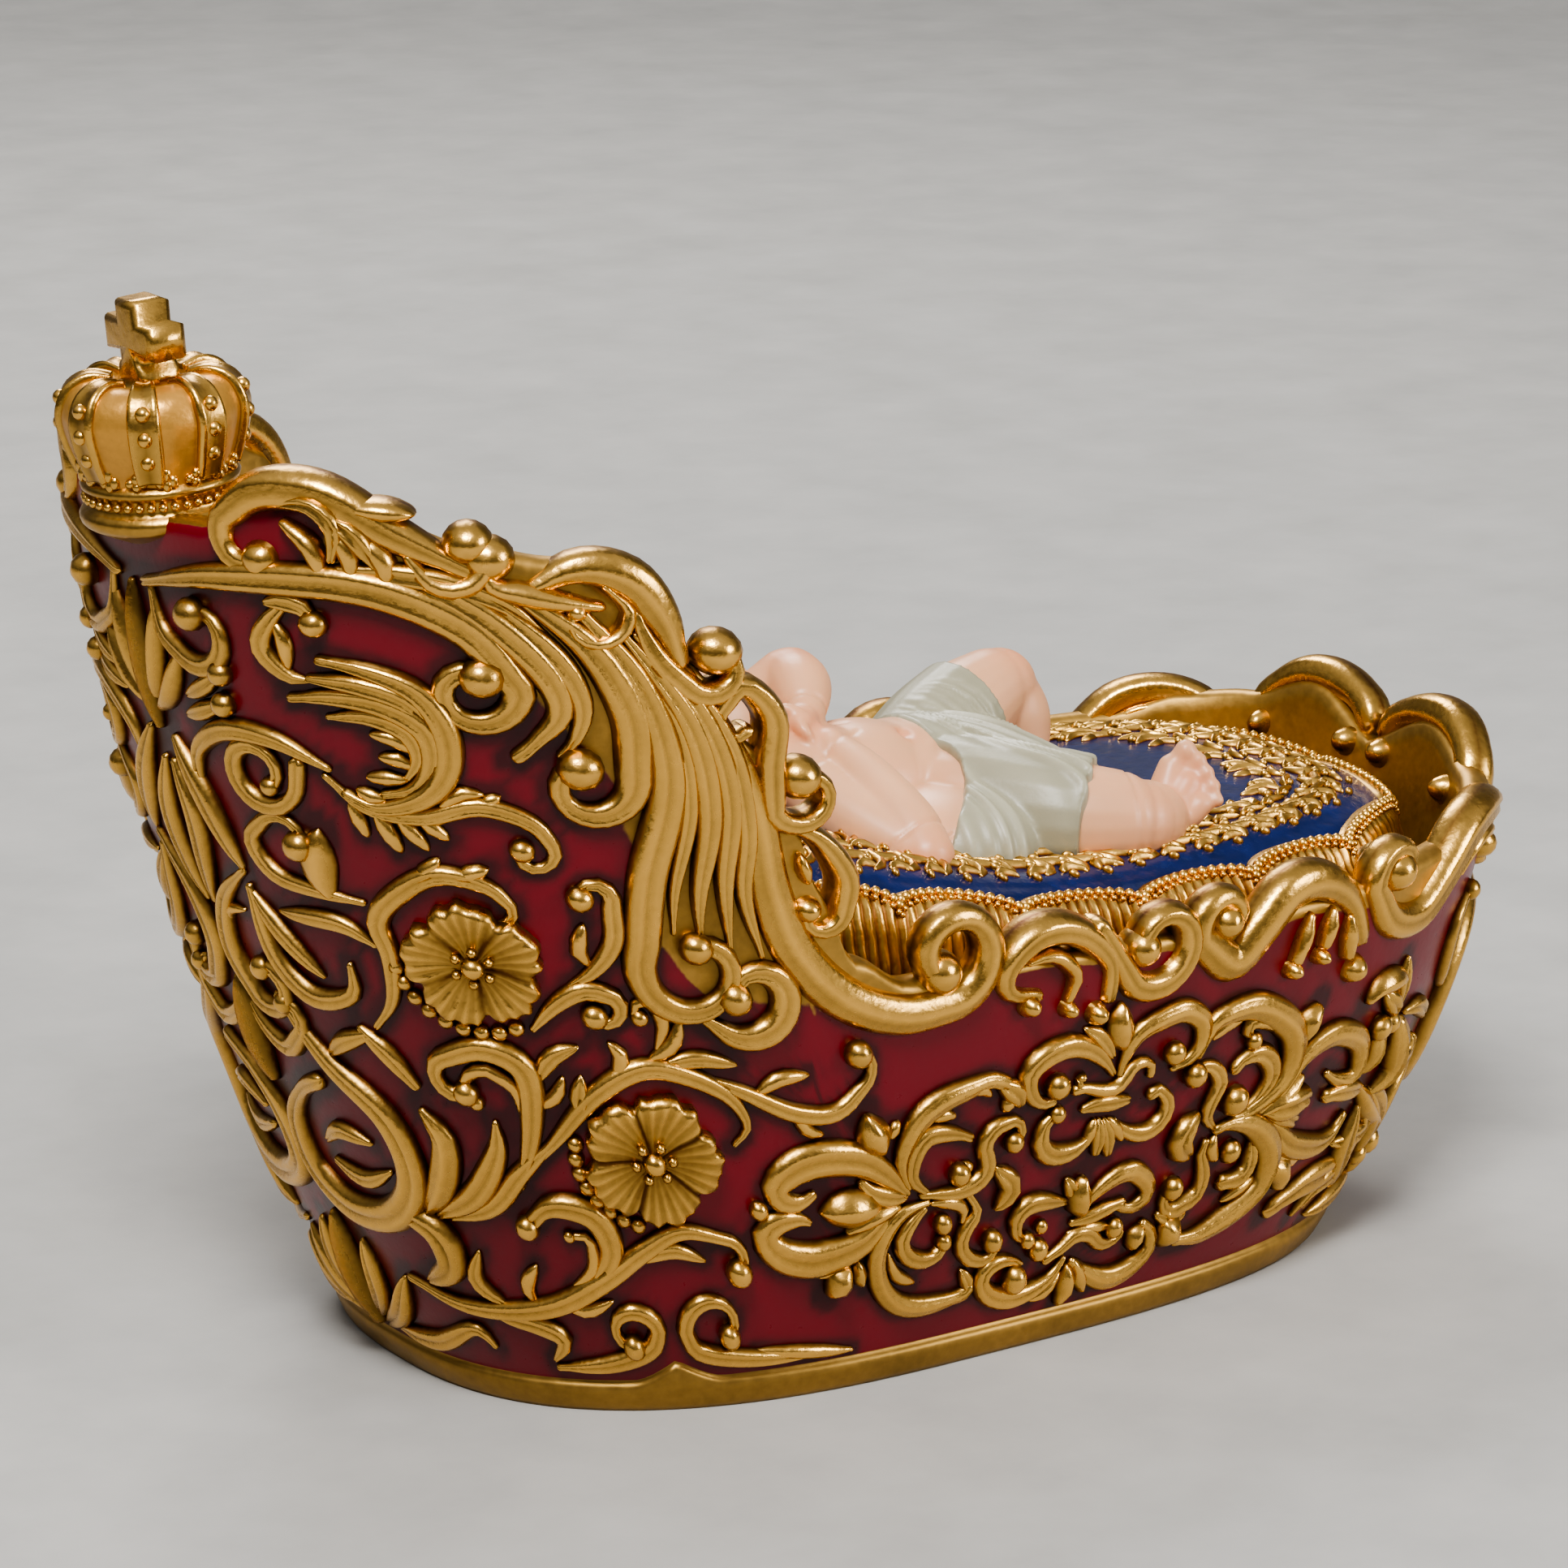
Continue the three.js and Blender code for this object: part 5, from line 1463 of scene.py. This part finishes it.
NEAR_TOES = [((55.0, -22.3, 74.6), (56.8, -23.2, 77.0), 1.6), ((56.0, -23.7, 73.8), (58.1, -24.8, 75.6), 1.2),
             ((56.5, -25.0, 72.4), (58.6, -26.2, 73.9), 1.15),
             ((56.9, -26.2, 71.0), (58.9, -27.4, 72.1), 1.1),
             ((57.1, -27.4, 69.5), (58.8, -28.5, 70.2), 1.05)]  # root, tip and radius
FAR_TOES = ((1.2, 1.45), (1.3, 1.15), (1.0, 1.1), (0.5, 1.05), (-0.2, 1.0))  # reach ahead and radius


def body_shapes(heap):
    """Trunk, arms, legs, hands and feet as overlapping rounded shapes."""
    limb(heap, [(-8, 0, 81.5, 5.2), (-3, 0, 80, 5.0), (2, 0, 78.5, 6)])
    lump(heap, (4.5, 0, 75.4), (12.4, 12.2, 8.6), 0.24)
    lump(heap, (14, 0, 74.3), (12, 11.6, 8.6), 0.14)
    lump(heap, (22, 0, 72.8), (13.5, 12.4, 8.9), 0.08)
    lump(heap, (31, 0, 71.6), (10, 13.2, 8.0))
    lump(heap, (18.0, -14.5, 67.8), (12.4, 13.0, 7.8))
    # near arm: the upper arm lies on the cushion, the forearm comes up to the chest
    limb(heap, [(-0.5, -9.5, 76.6, 5.0), (2, -18, 73.2, 5.0), (5.8, -27.4, 70.0, 4.3)])
    limb(heap, [(6.2, -28, 70.4, 4.2), (6.4, -22, 73.6, 4.8), (5.6, -12, 78.6, 4.1), (4.2, -5.5, 81.6, 2.9)])
    # far arm: the elbow stands up
    limb(heap, [(-1, 9.5, 77, 5.2), (3.6, 13.6, 81.4, 5.8), (9.2, 12.6, 86.4, 5.4)])
    limb(heap, [(9.6, 12.2, 86.8, 5.2), (8.2, 7.5, 86.6, 4.8), (5.0, 1.5, 84.2, 2.9)])
    # folded hands
    limb(heap, [(4.4, -5.0, 81.8, 2.6), (2.4, -2.6, 83.2, 2.7), (0.4, -0.6, 84.0, 2.2)], 0.8)
    limb(heap, [(4.6, 1.6, 84.0, 2.6), (2.8, -0.6, 84.9, 2.6), (1.2, -2.6, 85.2, 2.2)], 0.8)
    for k in range(4):
        limb(heap, [(1.6 + k * 0.5, -0.6, 84.6 - k * 0.75, 1.05), (0.2 + k * 0.3, 1.6, 85.0 - k * 0.85, 1.0),
                    (0.4 + k * 0.3, 3.4, 84.2 - k * 0.9, 0.85)])
        limb(heap, [(1.8 + k * 0.5, -2.6, 85.6 - k * 0.8, 1.05), (0.0 + k * 0.4, -4.4, 85.4 - k * 0.95, 1.0),
                    (0.5 + k * 0.4, -5.8, 84.2 - k * 1.0, 0.85)])
    limb(heap, [(3.6, -3.6, 83.6, 1.2), (1.2, -2.4, 86.4, 1.1), (-0.6, -1.4, 87.4, 0.9)])
    # far leg: knee up, shin down
    limb(heap, [(27, 6.5, 72.2, 7.2), (38, 10, 77.2, 7.9), (45.5, 11.6, 80.0, 6.6), (47.8, 12, 80.4, 5.9)])
    limb(heap, [(48.2, 12, 80.0, 5.4), (50.4, 11.4, 74.8, 5.7), (50.8, 10.0, 68.0, 4.1)])
    limb(heap, [(50.8, 9.8, 67.4, 3.4), (53.0, 5.6, 66.6, 3.1), (54.6, 2.2, 66.2, 2.5)], 0.85)
    limb(heap, [(51.6, 9.6, 67.4, 3.0), (55.0, 6.2, 66.5, 2.5), (56.6, 3.2, 66.1, 2.0)], 0.85)
    for k, (ahead, size) in enumerate(FAR_TOES):
        x, y = 52.9 + 1.3 * k, 1.9 + 0.75 * k
        limb(heap, [(x, y, 66.3, size * 0.95), (x + 0.5 + ahead * 0.4, y - 1.4 - ahead, 66.2, size)])
    # near leg: turned out, its foot on the outer side
    limb(heap, [(25, -9.5, 71.0, 8.6), (33.4, -20.6, 69.8, 8.9), (41.6, -26.4, 69.4, 7.6),
                (44.6, -27.4, 69.0, 6.4)])
    limb(heap, [(44.2, -27.2, 69.0, 6.2), (47.6, -26.8, 68.6, 5.9), (51.4, -24.9, 67.6, 4.2)])
    lump(heap, (51.8, -24.2, 66.9), (3.6, 3.3, 3.6))
    for joints in NEAR_FOOT:
        limb(heap, joints)
    for root, tip, radius in NEAR_TOES:
        middle = (np.array(root) + tip) / 2
        limb(heap, [(*root, radius * 0.95), (*middle, radius * 0.9), (*tip, radius * 1.08)])


def body_relief(points, normals):
    """Navel, breasts and creases, as hills and dents along the skin's normal, kept above the cushion."""
    rise = sum(height * bump_at(points, centre, spread) for height, centre, spread in BODY_HILLS)
    for centre, axis, width in CREASES:
        axis = unit(np.array(axis))
        offset = points - np.array(centre)
        along = offset @ axis
        across = np.linalg.norm(offset - along[:, None] * axis, axis=1)
        rise -= 0.28 * np.exp(-(along / width) ** 2) * (across < 7.5)
    return above_cushion(points, normals * rise[:, None])


def above_cushion(points, step):
    """Points moved by a step and kept above the cushion's top, a parabola, under where they were."""
    share = np.linalg.norm(points[:, :2] / [reach(FOOT, 64) - 19, reach(SIDE, 64) - 19], axis=1)
    level = CUSHION_TOP - 1.4 * np.clip(share, 0, 1) ** 2 + cushion_rise(points[:, 0]) + 0.6
    moved = points + step
    moved[:, 2] = np.maximum(moved[:, 2], level + 0.15)
    return moved


def redness(points):
    """Warm spots on the joints, as a sum of hills."""
    return sum(bump_at(points, at, (spread,) * 3) for at, spread in JOINTS_RED)


def cloth_shapes(heap):
    """The loincloth: the hips and the upper thighs again, a little fatter, with square ends for its hems."""
    limb(heap, [(14, 0.9, 74.2, 13.0), (22.6, 0.8, 72.8, 13.2), (27, 0.4, 72.3, 13.3), (32, 0.2, 71.6, 13.3)],
         0.7)
    limb(heap, [(26, 6.6, 72.6, 8.0), (33, 8.7, 75.4, 8.7), (40.5, 10.4, 78.4, 8.6)], square=True)
    limb(heap, [(23, -7, 71.2, 9.2), (25, -9.5, 71.2, 9.6), (33, -20.2, 70.2, 10), (37.6, -24.8, 69.8, 9.5)],
         square=True)
    limb(heap, [(27.0, 5, 73.2, 9.0), (31.0, -4, 72.6, 9.6), (33.4, -14, 71.2, 9.6)], 0.9)
    lump(heap, (20.0, -16.0, 67.8), (13.0, 14.0, 8.8))


def folds(points):
    """Long folds, from 0 to 1: lines that fan out from beyond the far hip and grow over the near one.

    The fan's angle is counted in folds and warped by a slow wave, so that no two are alike."""
    x, y, _ = points.T
    fan = np.degrees(np.arctan2(x - 20, 21 - y)) / 4.3
    fan += 0.4 * np.sin(1.3 * fan + 0.6) + 0.16 * np.sin(y / 3.4)
    ridge = (0.5 + 0.5 * np.cos(2 * np.pi * fan)) ** 1.3 * (0.62 + 0.38 * np.sin(1.9 * fan + 1))
    return ridge * np.clip((9 - y) / 10, 0, 1)


def cloth_relief(points, normals):
    """The folds raised along the cloth's own normal, and the cloth sunk under the skin past the waist.

    The waist runs straight across the belly and bends towards the head over the near hip, as a parabola."""
    x, y, _ = points.T
    waist = 22.0 - 0.045 * np.clip(-11 - y, 0, None) ** 2
    past = np.clip((waist - x + 0.5) / 1.0, 0, 1)
    return above_cushion(points, normals * ((0.75 * folds(points) - 0.1) * (1 - past) - 3.2 * past)[:, None])


def fold_highlight_and_shade(points):
    """Painted highlight on the folds' ridges and painted shade between them."""
    return 0.3 + 0.6 * folds(points)


# The head, in shares of itself: side, up and front are a direction's own parts, from its middle

HEAD_AT = np.array([-14.6, 0.0, 86.6])
HEAD_AXES = np.array([[0, 1, 0], [-0.963, 0, 0.27], [0.27, 0, 0.963]])  # to its side, its top and its face
HEAD_ROWS, HEAD_AROUND = 140, 180
HAIR_ROWS, HAIR_AROUND = 164, 200
CURLS = 96
GOLDEN_ANGLE = 2.399963
EYE = 0.36
# Hills and dents of the face: height in millimetres, side, up, and the half widths along both
FACE_MIDDLE = [(0.3, 0, 0.42, 0.5, 0.35), (0.9, 0, -0.1, 0.085, 0.2), (1.35, 0, -0.27, 0.1, 0.085),
               (-0.25, 0, -0.4, 0.05, 0.05), (0.75, 0, -0.485, 0.17, 0.04), (0.8, 0, -0.57, 0.13, 0.045),
               (-0.6, 0, -0.525, 0.17, 0.018), (-0.45, 0, -0.65, 0.14, 0.05), (1.0, 0, -0.77, 0.17, 0.12)]
FACE_SIDES = [(0.7, 0.095, -0.3, 0.055, 0.05), (-0.95, EYE, -0.06, 0.2, 0.13), (0.8, EYE, -0.09, 0.14, 0.085),
              (0.25, 0.35, 0.1, 0.2, 0.05), (0.95, 0.45, -0.42, 0.24, 0.22), (-0.3, 0.185, -0.52, 0.04, 0.04)]
EAR_RIM = [(8.9, 1.2, 0.4), (9.9, 2.1, -0.8), (9.9, 0.4, -1.8), (9.6, -1.6, -1.4), (9.0, -2.9, -0.2)]
EAR_MIDDLE = [(8.9, 0.6, -0.6), (8.8, -1.4, -0.4)]


def in_head(own):
    """A point from its own side, up and front, in millimetres from the head's middle."""
    return HEAD_AT + np.asarray(own) @ HEAD_AXES


def hill(head, side, up, wide, tall):
    """A soft hill on the face: exp of minus the squared distances from its middle over its half widths."""
    return np.exp(-((head[0] - side) / wide) ** 2 - ((head[1] - up) / tall) ** 2) * (head[2] > 0)


def eye_line(head, mirror, height, thin, reach_out):
    """The closed lid's edge, a shallow arc, as a ridge: exp of minus the squared gap over its thickness."""
    from_eye = head[0] - EYE * mirror
    arc = -0.135 - 0.02 * (1 - (from_eye / 0.15) ** 2)
    return height * np.exp(-((head[1] - arc) / thin) ** 2) * (np.abs(from_eye) < reach_out) * (head[2] > 0)


def face_relief(head):
    """Heights of a calm, closed-eyed face over the head, in millimetres, as a sum of soft hills and dents."""
    rise = sum(height * hill(head, *where) for height, *where in FACE_MIDDLE)
    for mirror in (1, -1):
        rise += sum(height * hill(head, side * mirror, *where) for height, side, *where in FACE_SIDES)
        rise -= eye_line(head, mirror, 0.22, 0.014, 0.15)
    return rise


def head_point(head, rise):
    """A head direction made a point: an egg, narrower at the jaw, with its relief added outwards."""
    side, up, front = head
    jaw = 1 - 0.13 * np.clip((-up - 0.2) / 0.6, 0, 1) ** 1.5
    chin = 1 - 0.04 * (up < -0.5)
    return in_head(np.stack([side * (9.2 * jaw + rise), up * (9.9 + rise), front * (10.1 * chin + rise)], -1))


def directions(rows, around):
    """All directions round the head as its own side, up and front, with the pole at the top of the head."""
    tilt = np.linspace(0.01, 0.99, rows)[:, None] * np.pi
    spin = full_turn(around)[None]
    return np.sin(tilt) * np.sin(spin), np.cos(tilt) + 0 * spin, np.sin(tilt) * np.cos(spin)


def curls(head):
    """Locks of hair: domes round scattered centres, each with a groove that winds once round it."""
    chance = np.random.default_rng(3)
    height = 1 - 2 * (np.arange(CURLS) + 0.5) / CURLS
    spin = np.arange(CURLS) * GOLDEN_ANGLE + chance.uniform(-0.2, 0.2, CURLS)
    ring = np.sqrt(1 - height ** 2)
    centres = np.stack([ring * np.sin(spin), height, ring * np.cos(spin)], -1)
    direction = np.stack(head, -1)
    rise = np.zeros(direction.shape[:-1])
    for centre in centres:
        gap = direction - centre
        first = unit(np.cross(centre, [0.3, 0.2, 0.93]))
        a, b = gap @ first, gap @ np.cross(centre, first)
        radius = np.sqrt(a * a + b * b)
        swirl = np.cos(2 * np.arctan2(b, a) + radius * 34)
        lock = np.where((gap ** 2).sum(-1) < 0.07, 1.15 * np.sqrt(np.clip(1 - (radius / 0.25) ** 2, 0, 1)), 0)
        rise = np.maximum(rise, lock * (0.72 + 0.28 * swirl))
    return rise


def build_head():
    """The head with its ears, and on its points how much each is lip, cheek, or brow and lashes."""
    head = directions(HEAD_ROWS, HEAD_AROUND)
    heap = Heap()
    heap.rings(head_point(head, face_relief(head)), 0.5)
    for mirror in (1, -1):
        for line, radius in ((EAR_RIM, 0.85), (EAR_MIDDLE, 0.9)):
            limb(heap, [(*in_head((mirror * x, y, z)), radius) for x, y, z in line])
    mesh = heap.piece("infant_head", put_paint("flesh_paint"), "infant").data
    lips = hill(head, 0, -0.49, 0.16, 0.045) + hill(head, 0, -0.565, 0.12, 0.045)
    blush, brow = 0, 0
    for mirror in (1, -1):
        blush += 0.9 * hill(head, 0.47 * mirror, -0.38, 0.2, 0.2)
        from_brow = head[0] - 0.35 * mirror
        arch = np.exp(-((head[1] - 0.14 + 0.4 * from_brow ** 2) / 0.022) ** 2)
        brow += 0.6 * arch * (np.abs(from_brow) < 0.19) * (head[2] > 0)
        brow += eye_line(head, mirror, 0.9, 0.013, 0.145)
    for name, tone in (("blush", blush), ("lips", lips), ("brow", brow)):
        kept = np.zeros(len(mesh.vertices))
        kept[:tone.size] = np.clip(tone, 0, 1).ravel()
        keep_tone(mesh, name, kept)


def build_hair():
    """The hair: the head again, sunk under the skin but for the scalp, where the curls stand up from it."""
    head = directions(HAIR_ROWS, HAIR_AROUND)
    side, up, front = head
    line = up - 0.52 * front - 0.08 + 0.05 * np.cos(7 * np.arctan2(side, front + 0.2))
    lock = curls(head)
    heap = Heap()
    # the curls' height kept as tone, which the hair's paint turns into painted highlight and shade
    heap.rings(head_point(head, -1.4 + ease((line + 0.02) / 0.12) * (1.5 + 1.1 * lock)), 0.2 + 0.7 * lock)
    heap.piece("infant_hair", put_paint("brown_hair"), "infant")


class BuildInfant(bpy.types.Operator):
    """Infant: the body in one skin, the head with its face and ears, the curly hair, and the loincloth"""
    bl_idname = "cradle.infant"
    bl_label = "Infant"

    def execute(self, context):
        heap = Heap()
        body_shapes(heap)
        mesh = fuse(heap, "infant_body", 0.46, 6)
        mould(mesh, body_relief, "blush", redness)
        place(mesh, put_paint("flesh_paint"), "infant")
        heap = Heap()
        cloth_shapes(heap)
        mesh = fuse(heap, "infant_loincloth", 0.42, 5)
        # the loincloth keeps the folds' painted highlight and shade as its tone
        mould(mesh, cloth_relief, "raised", fold_highlight_and_shade)
        place(mesh, put_paint("pearl_paint"), "infant")
        build_head()
        build_hair()
        return {"FINISHED"}


# Stage, in metres

VIEW_TURN = math.radians(33.9)  # from the cradle's across direction to the camera's way
LENS = 138.8
CAMERA_AT = ((-476.4 + SHIFT) * MM, -0.7094, 0.3236)
CAMERA_TARGET = ((0.25 + SHIFT) * MM, 0, 0.0753)
LAMP_TARGET = (0, 0, 0.07)
LAMPS = (("key", (-0.5, -0.55, 1.1), 0.38, 20), ("fill", (0.7, -0.9, 0.45), 0.4, 7),
         ("back", (0.35, 0.9, 0.9), 0.5, 10))  # name, place, size and power


def build_floor():
    """The floor, a quarter circle up behind the cradle and a wall above it, the same all along its width."""
    bend = np.linspace(0, np.pi / 2, 12)
    run = np.concatenate([np.linspace(-2.5, 1.2, 12), 1.2 + 0.9 * np.sin(bend), [2.1]])
    rise = np.concatenate([np.zeros(12), 0.9 * (1 - np.cos(bend)), [3.5]])
    across = np.linspace(-3.5, 3.5, 3)
    away = np.array([math.sin(VIEW_TURN), math.cos(VIEW_TURN)])
    sideways = np.array([away[1], -away[0]])
    flat = run[:, None, None] * away + across[None, :, None] * sideways
    points = np.concatenate([flat, np.broadcast_to(rise[:, None, None], flat.shape[:2] + (1,))], -1)
    rows, cols = points.shape[:2]
    first = (np.arange(rows - 1)[:, None] * cols + np.arange(cols - 1)[None]).ravel()
    quads = np.stack([first, first + 1, first + cols + 1, first + cols], -1)
    mesh = bpy.data.meshes.new("floor")
    mesh.from_pydata(points.reshape(-1, 3).tolist(), [], quads.tolist())
    smooth(mesh)
    floor = bpy.data.objects.new("floor", mesh)
    bpy.context.scene.collection.objects.link(floor)
    paint = Paint("pale_floor", Roughness=0.85)
    grain = paint.noise(35, 5, 0.6)
    colour = paint.ramp(grain, [(0.2, (0.33, 0.32, 0.3)), (0.8, (0.42, 0.405, 0.38))])
    mesh.materials.append(paint.finish(grain, 0.001, 0.25, Base_Color=colour))


def build_sky(scene):
    """A studio's light: dark below and pale above, by the height of the view direction."""
    world = bpy.data.worlds.new("studio")
    scene.world = world
    world.use_nodes = True
    nodes, links = world.node_tree.nodes, world.node_tree.links
    way = nodes.new("ShaderNodeTexCoord")
    part = nodes.new("ShaderNodeSeparateXYZ")
    sky = nodes.new("ShaderNodeValToRGB")
    links.new(way.outputs["Generated"], part.inputs[0])
    links.new(part.outputs["Z"], sky.inputs[0])
    links.new(sky.outputs[0], nodes["Background"].inputs["Color"])
    low, high = sky.color_ramp.elements
    low.position, low.color = 0.1, (0.1, 0.1, 0.105, 1)
    high.position, high.color = 0.75, (0.95, 0.96, 1.0, 1)
    nodes["Background"].inputs["Strength"].default_value = 0.55


def aimed(name, data, at, target):
    """A lamp or a camera put at a place and turned to look at a target."""
    obj = bpy.data.objects.new(name, data)
    obj.location = at
    obj.rotation_euler = (Vector(target) - Vector(at)).to_track_quat("-Z", "Y").to_euler()
    bpy.context.scene.collection.objects.link(obj)
    return obj


class BuildStage(bpy.types.Operator):
    """Stage: pale floor and backdrop, soft light and the camera"""
    bl_idname = "cradle.stage"
    bl_label = "Stage"

    def execute(self, context):
        build_floor()
        build_sky(context.scene)
        for name, at, size, power in LAMPS:
            lamp = bpy.data.lights.new(name, "AREA")
            lamp.size, lamp.energy = size, power
            aimed(name, lamp, at, LAMP_TARGET)
        lens = bpy.data.cameras.new("camera")
        lens.lens, lens.sensor_width = LENS, 36
        context.scene.camera = aimed("camera", lens, CAMERA_AT, CAMERA_TARGET)
        context.scene.view_settings.look = "AgX - Medium High Contrast"
        return {"FINISHED"}


STEPS = (BuildShell, BuildRim, BuildCarving, BuildFlowers, BuildCrown, BuildCushion, BuildInfant, BuildStage)


class CradlePanel(bpy.types.Panel):
    """Lists the pieces and the sizes and colours that they are built from"""
    bl_idname = "VIEW3D_PT_cradle"
    bl_label = "Cradle"
    bl_space_type = "VIEW_3D"
    bl_region_type = "UI"
    bl_category = "Cradle"

    def draw(self, context):
        for group in (context.scene.cradle_sizes, context.scene.cradle_colours):
            for name in group.bl_rna.properties.keys():
                if name not in {"rna_type", "name"}:
                    self.layout.prop(group, name)
        for step in STEPS:
            self.layout.operator(step.bl_idname)


CLASSES = (CradleSizes, CradleColours, *STEPS, CradlePanel)


def register():
    for kind in CLASSES:
        bpy.utils.register_class(kind)
    bpy.types.Scene.cradle_sizes = bpy.props.PointerProperty(type=CradleSizes)
    bpy.types.Scene.cradle_colours = bpy.props.PointerProperty(type=CradleColours)


def unregister():
    del bpy.types.Scene.cradle_colours
    del bpy.types.Scene.cradle_sizes
    for kind in reversed(CLASSES):
        bpy.utils.unregister_class(kind)


def main():
    """Registers the classes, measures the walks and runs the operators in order."""
    global WALK, CUSHION_WALK
    register()
    WALK = tub_walk()
    CUSHION_WALK = cushion_walk()
    for step in STEPS:
        family, name = step.bl_idname.split(".")
        getattr(getattr(bpy.ops, family), name)()
    bpy.context.view_layer.update()


if __name__ == "__main__":
    main()
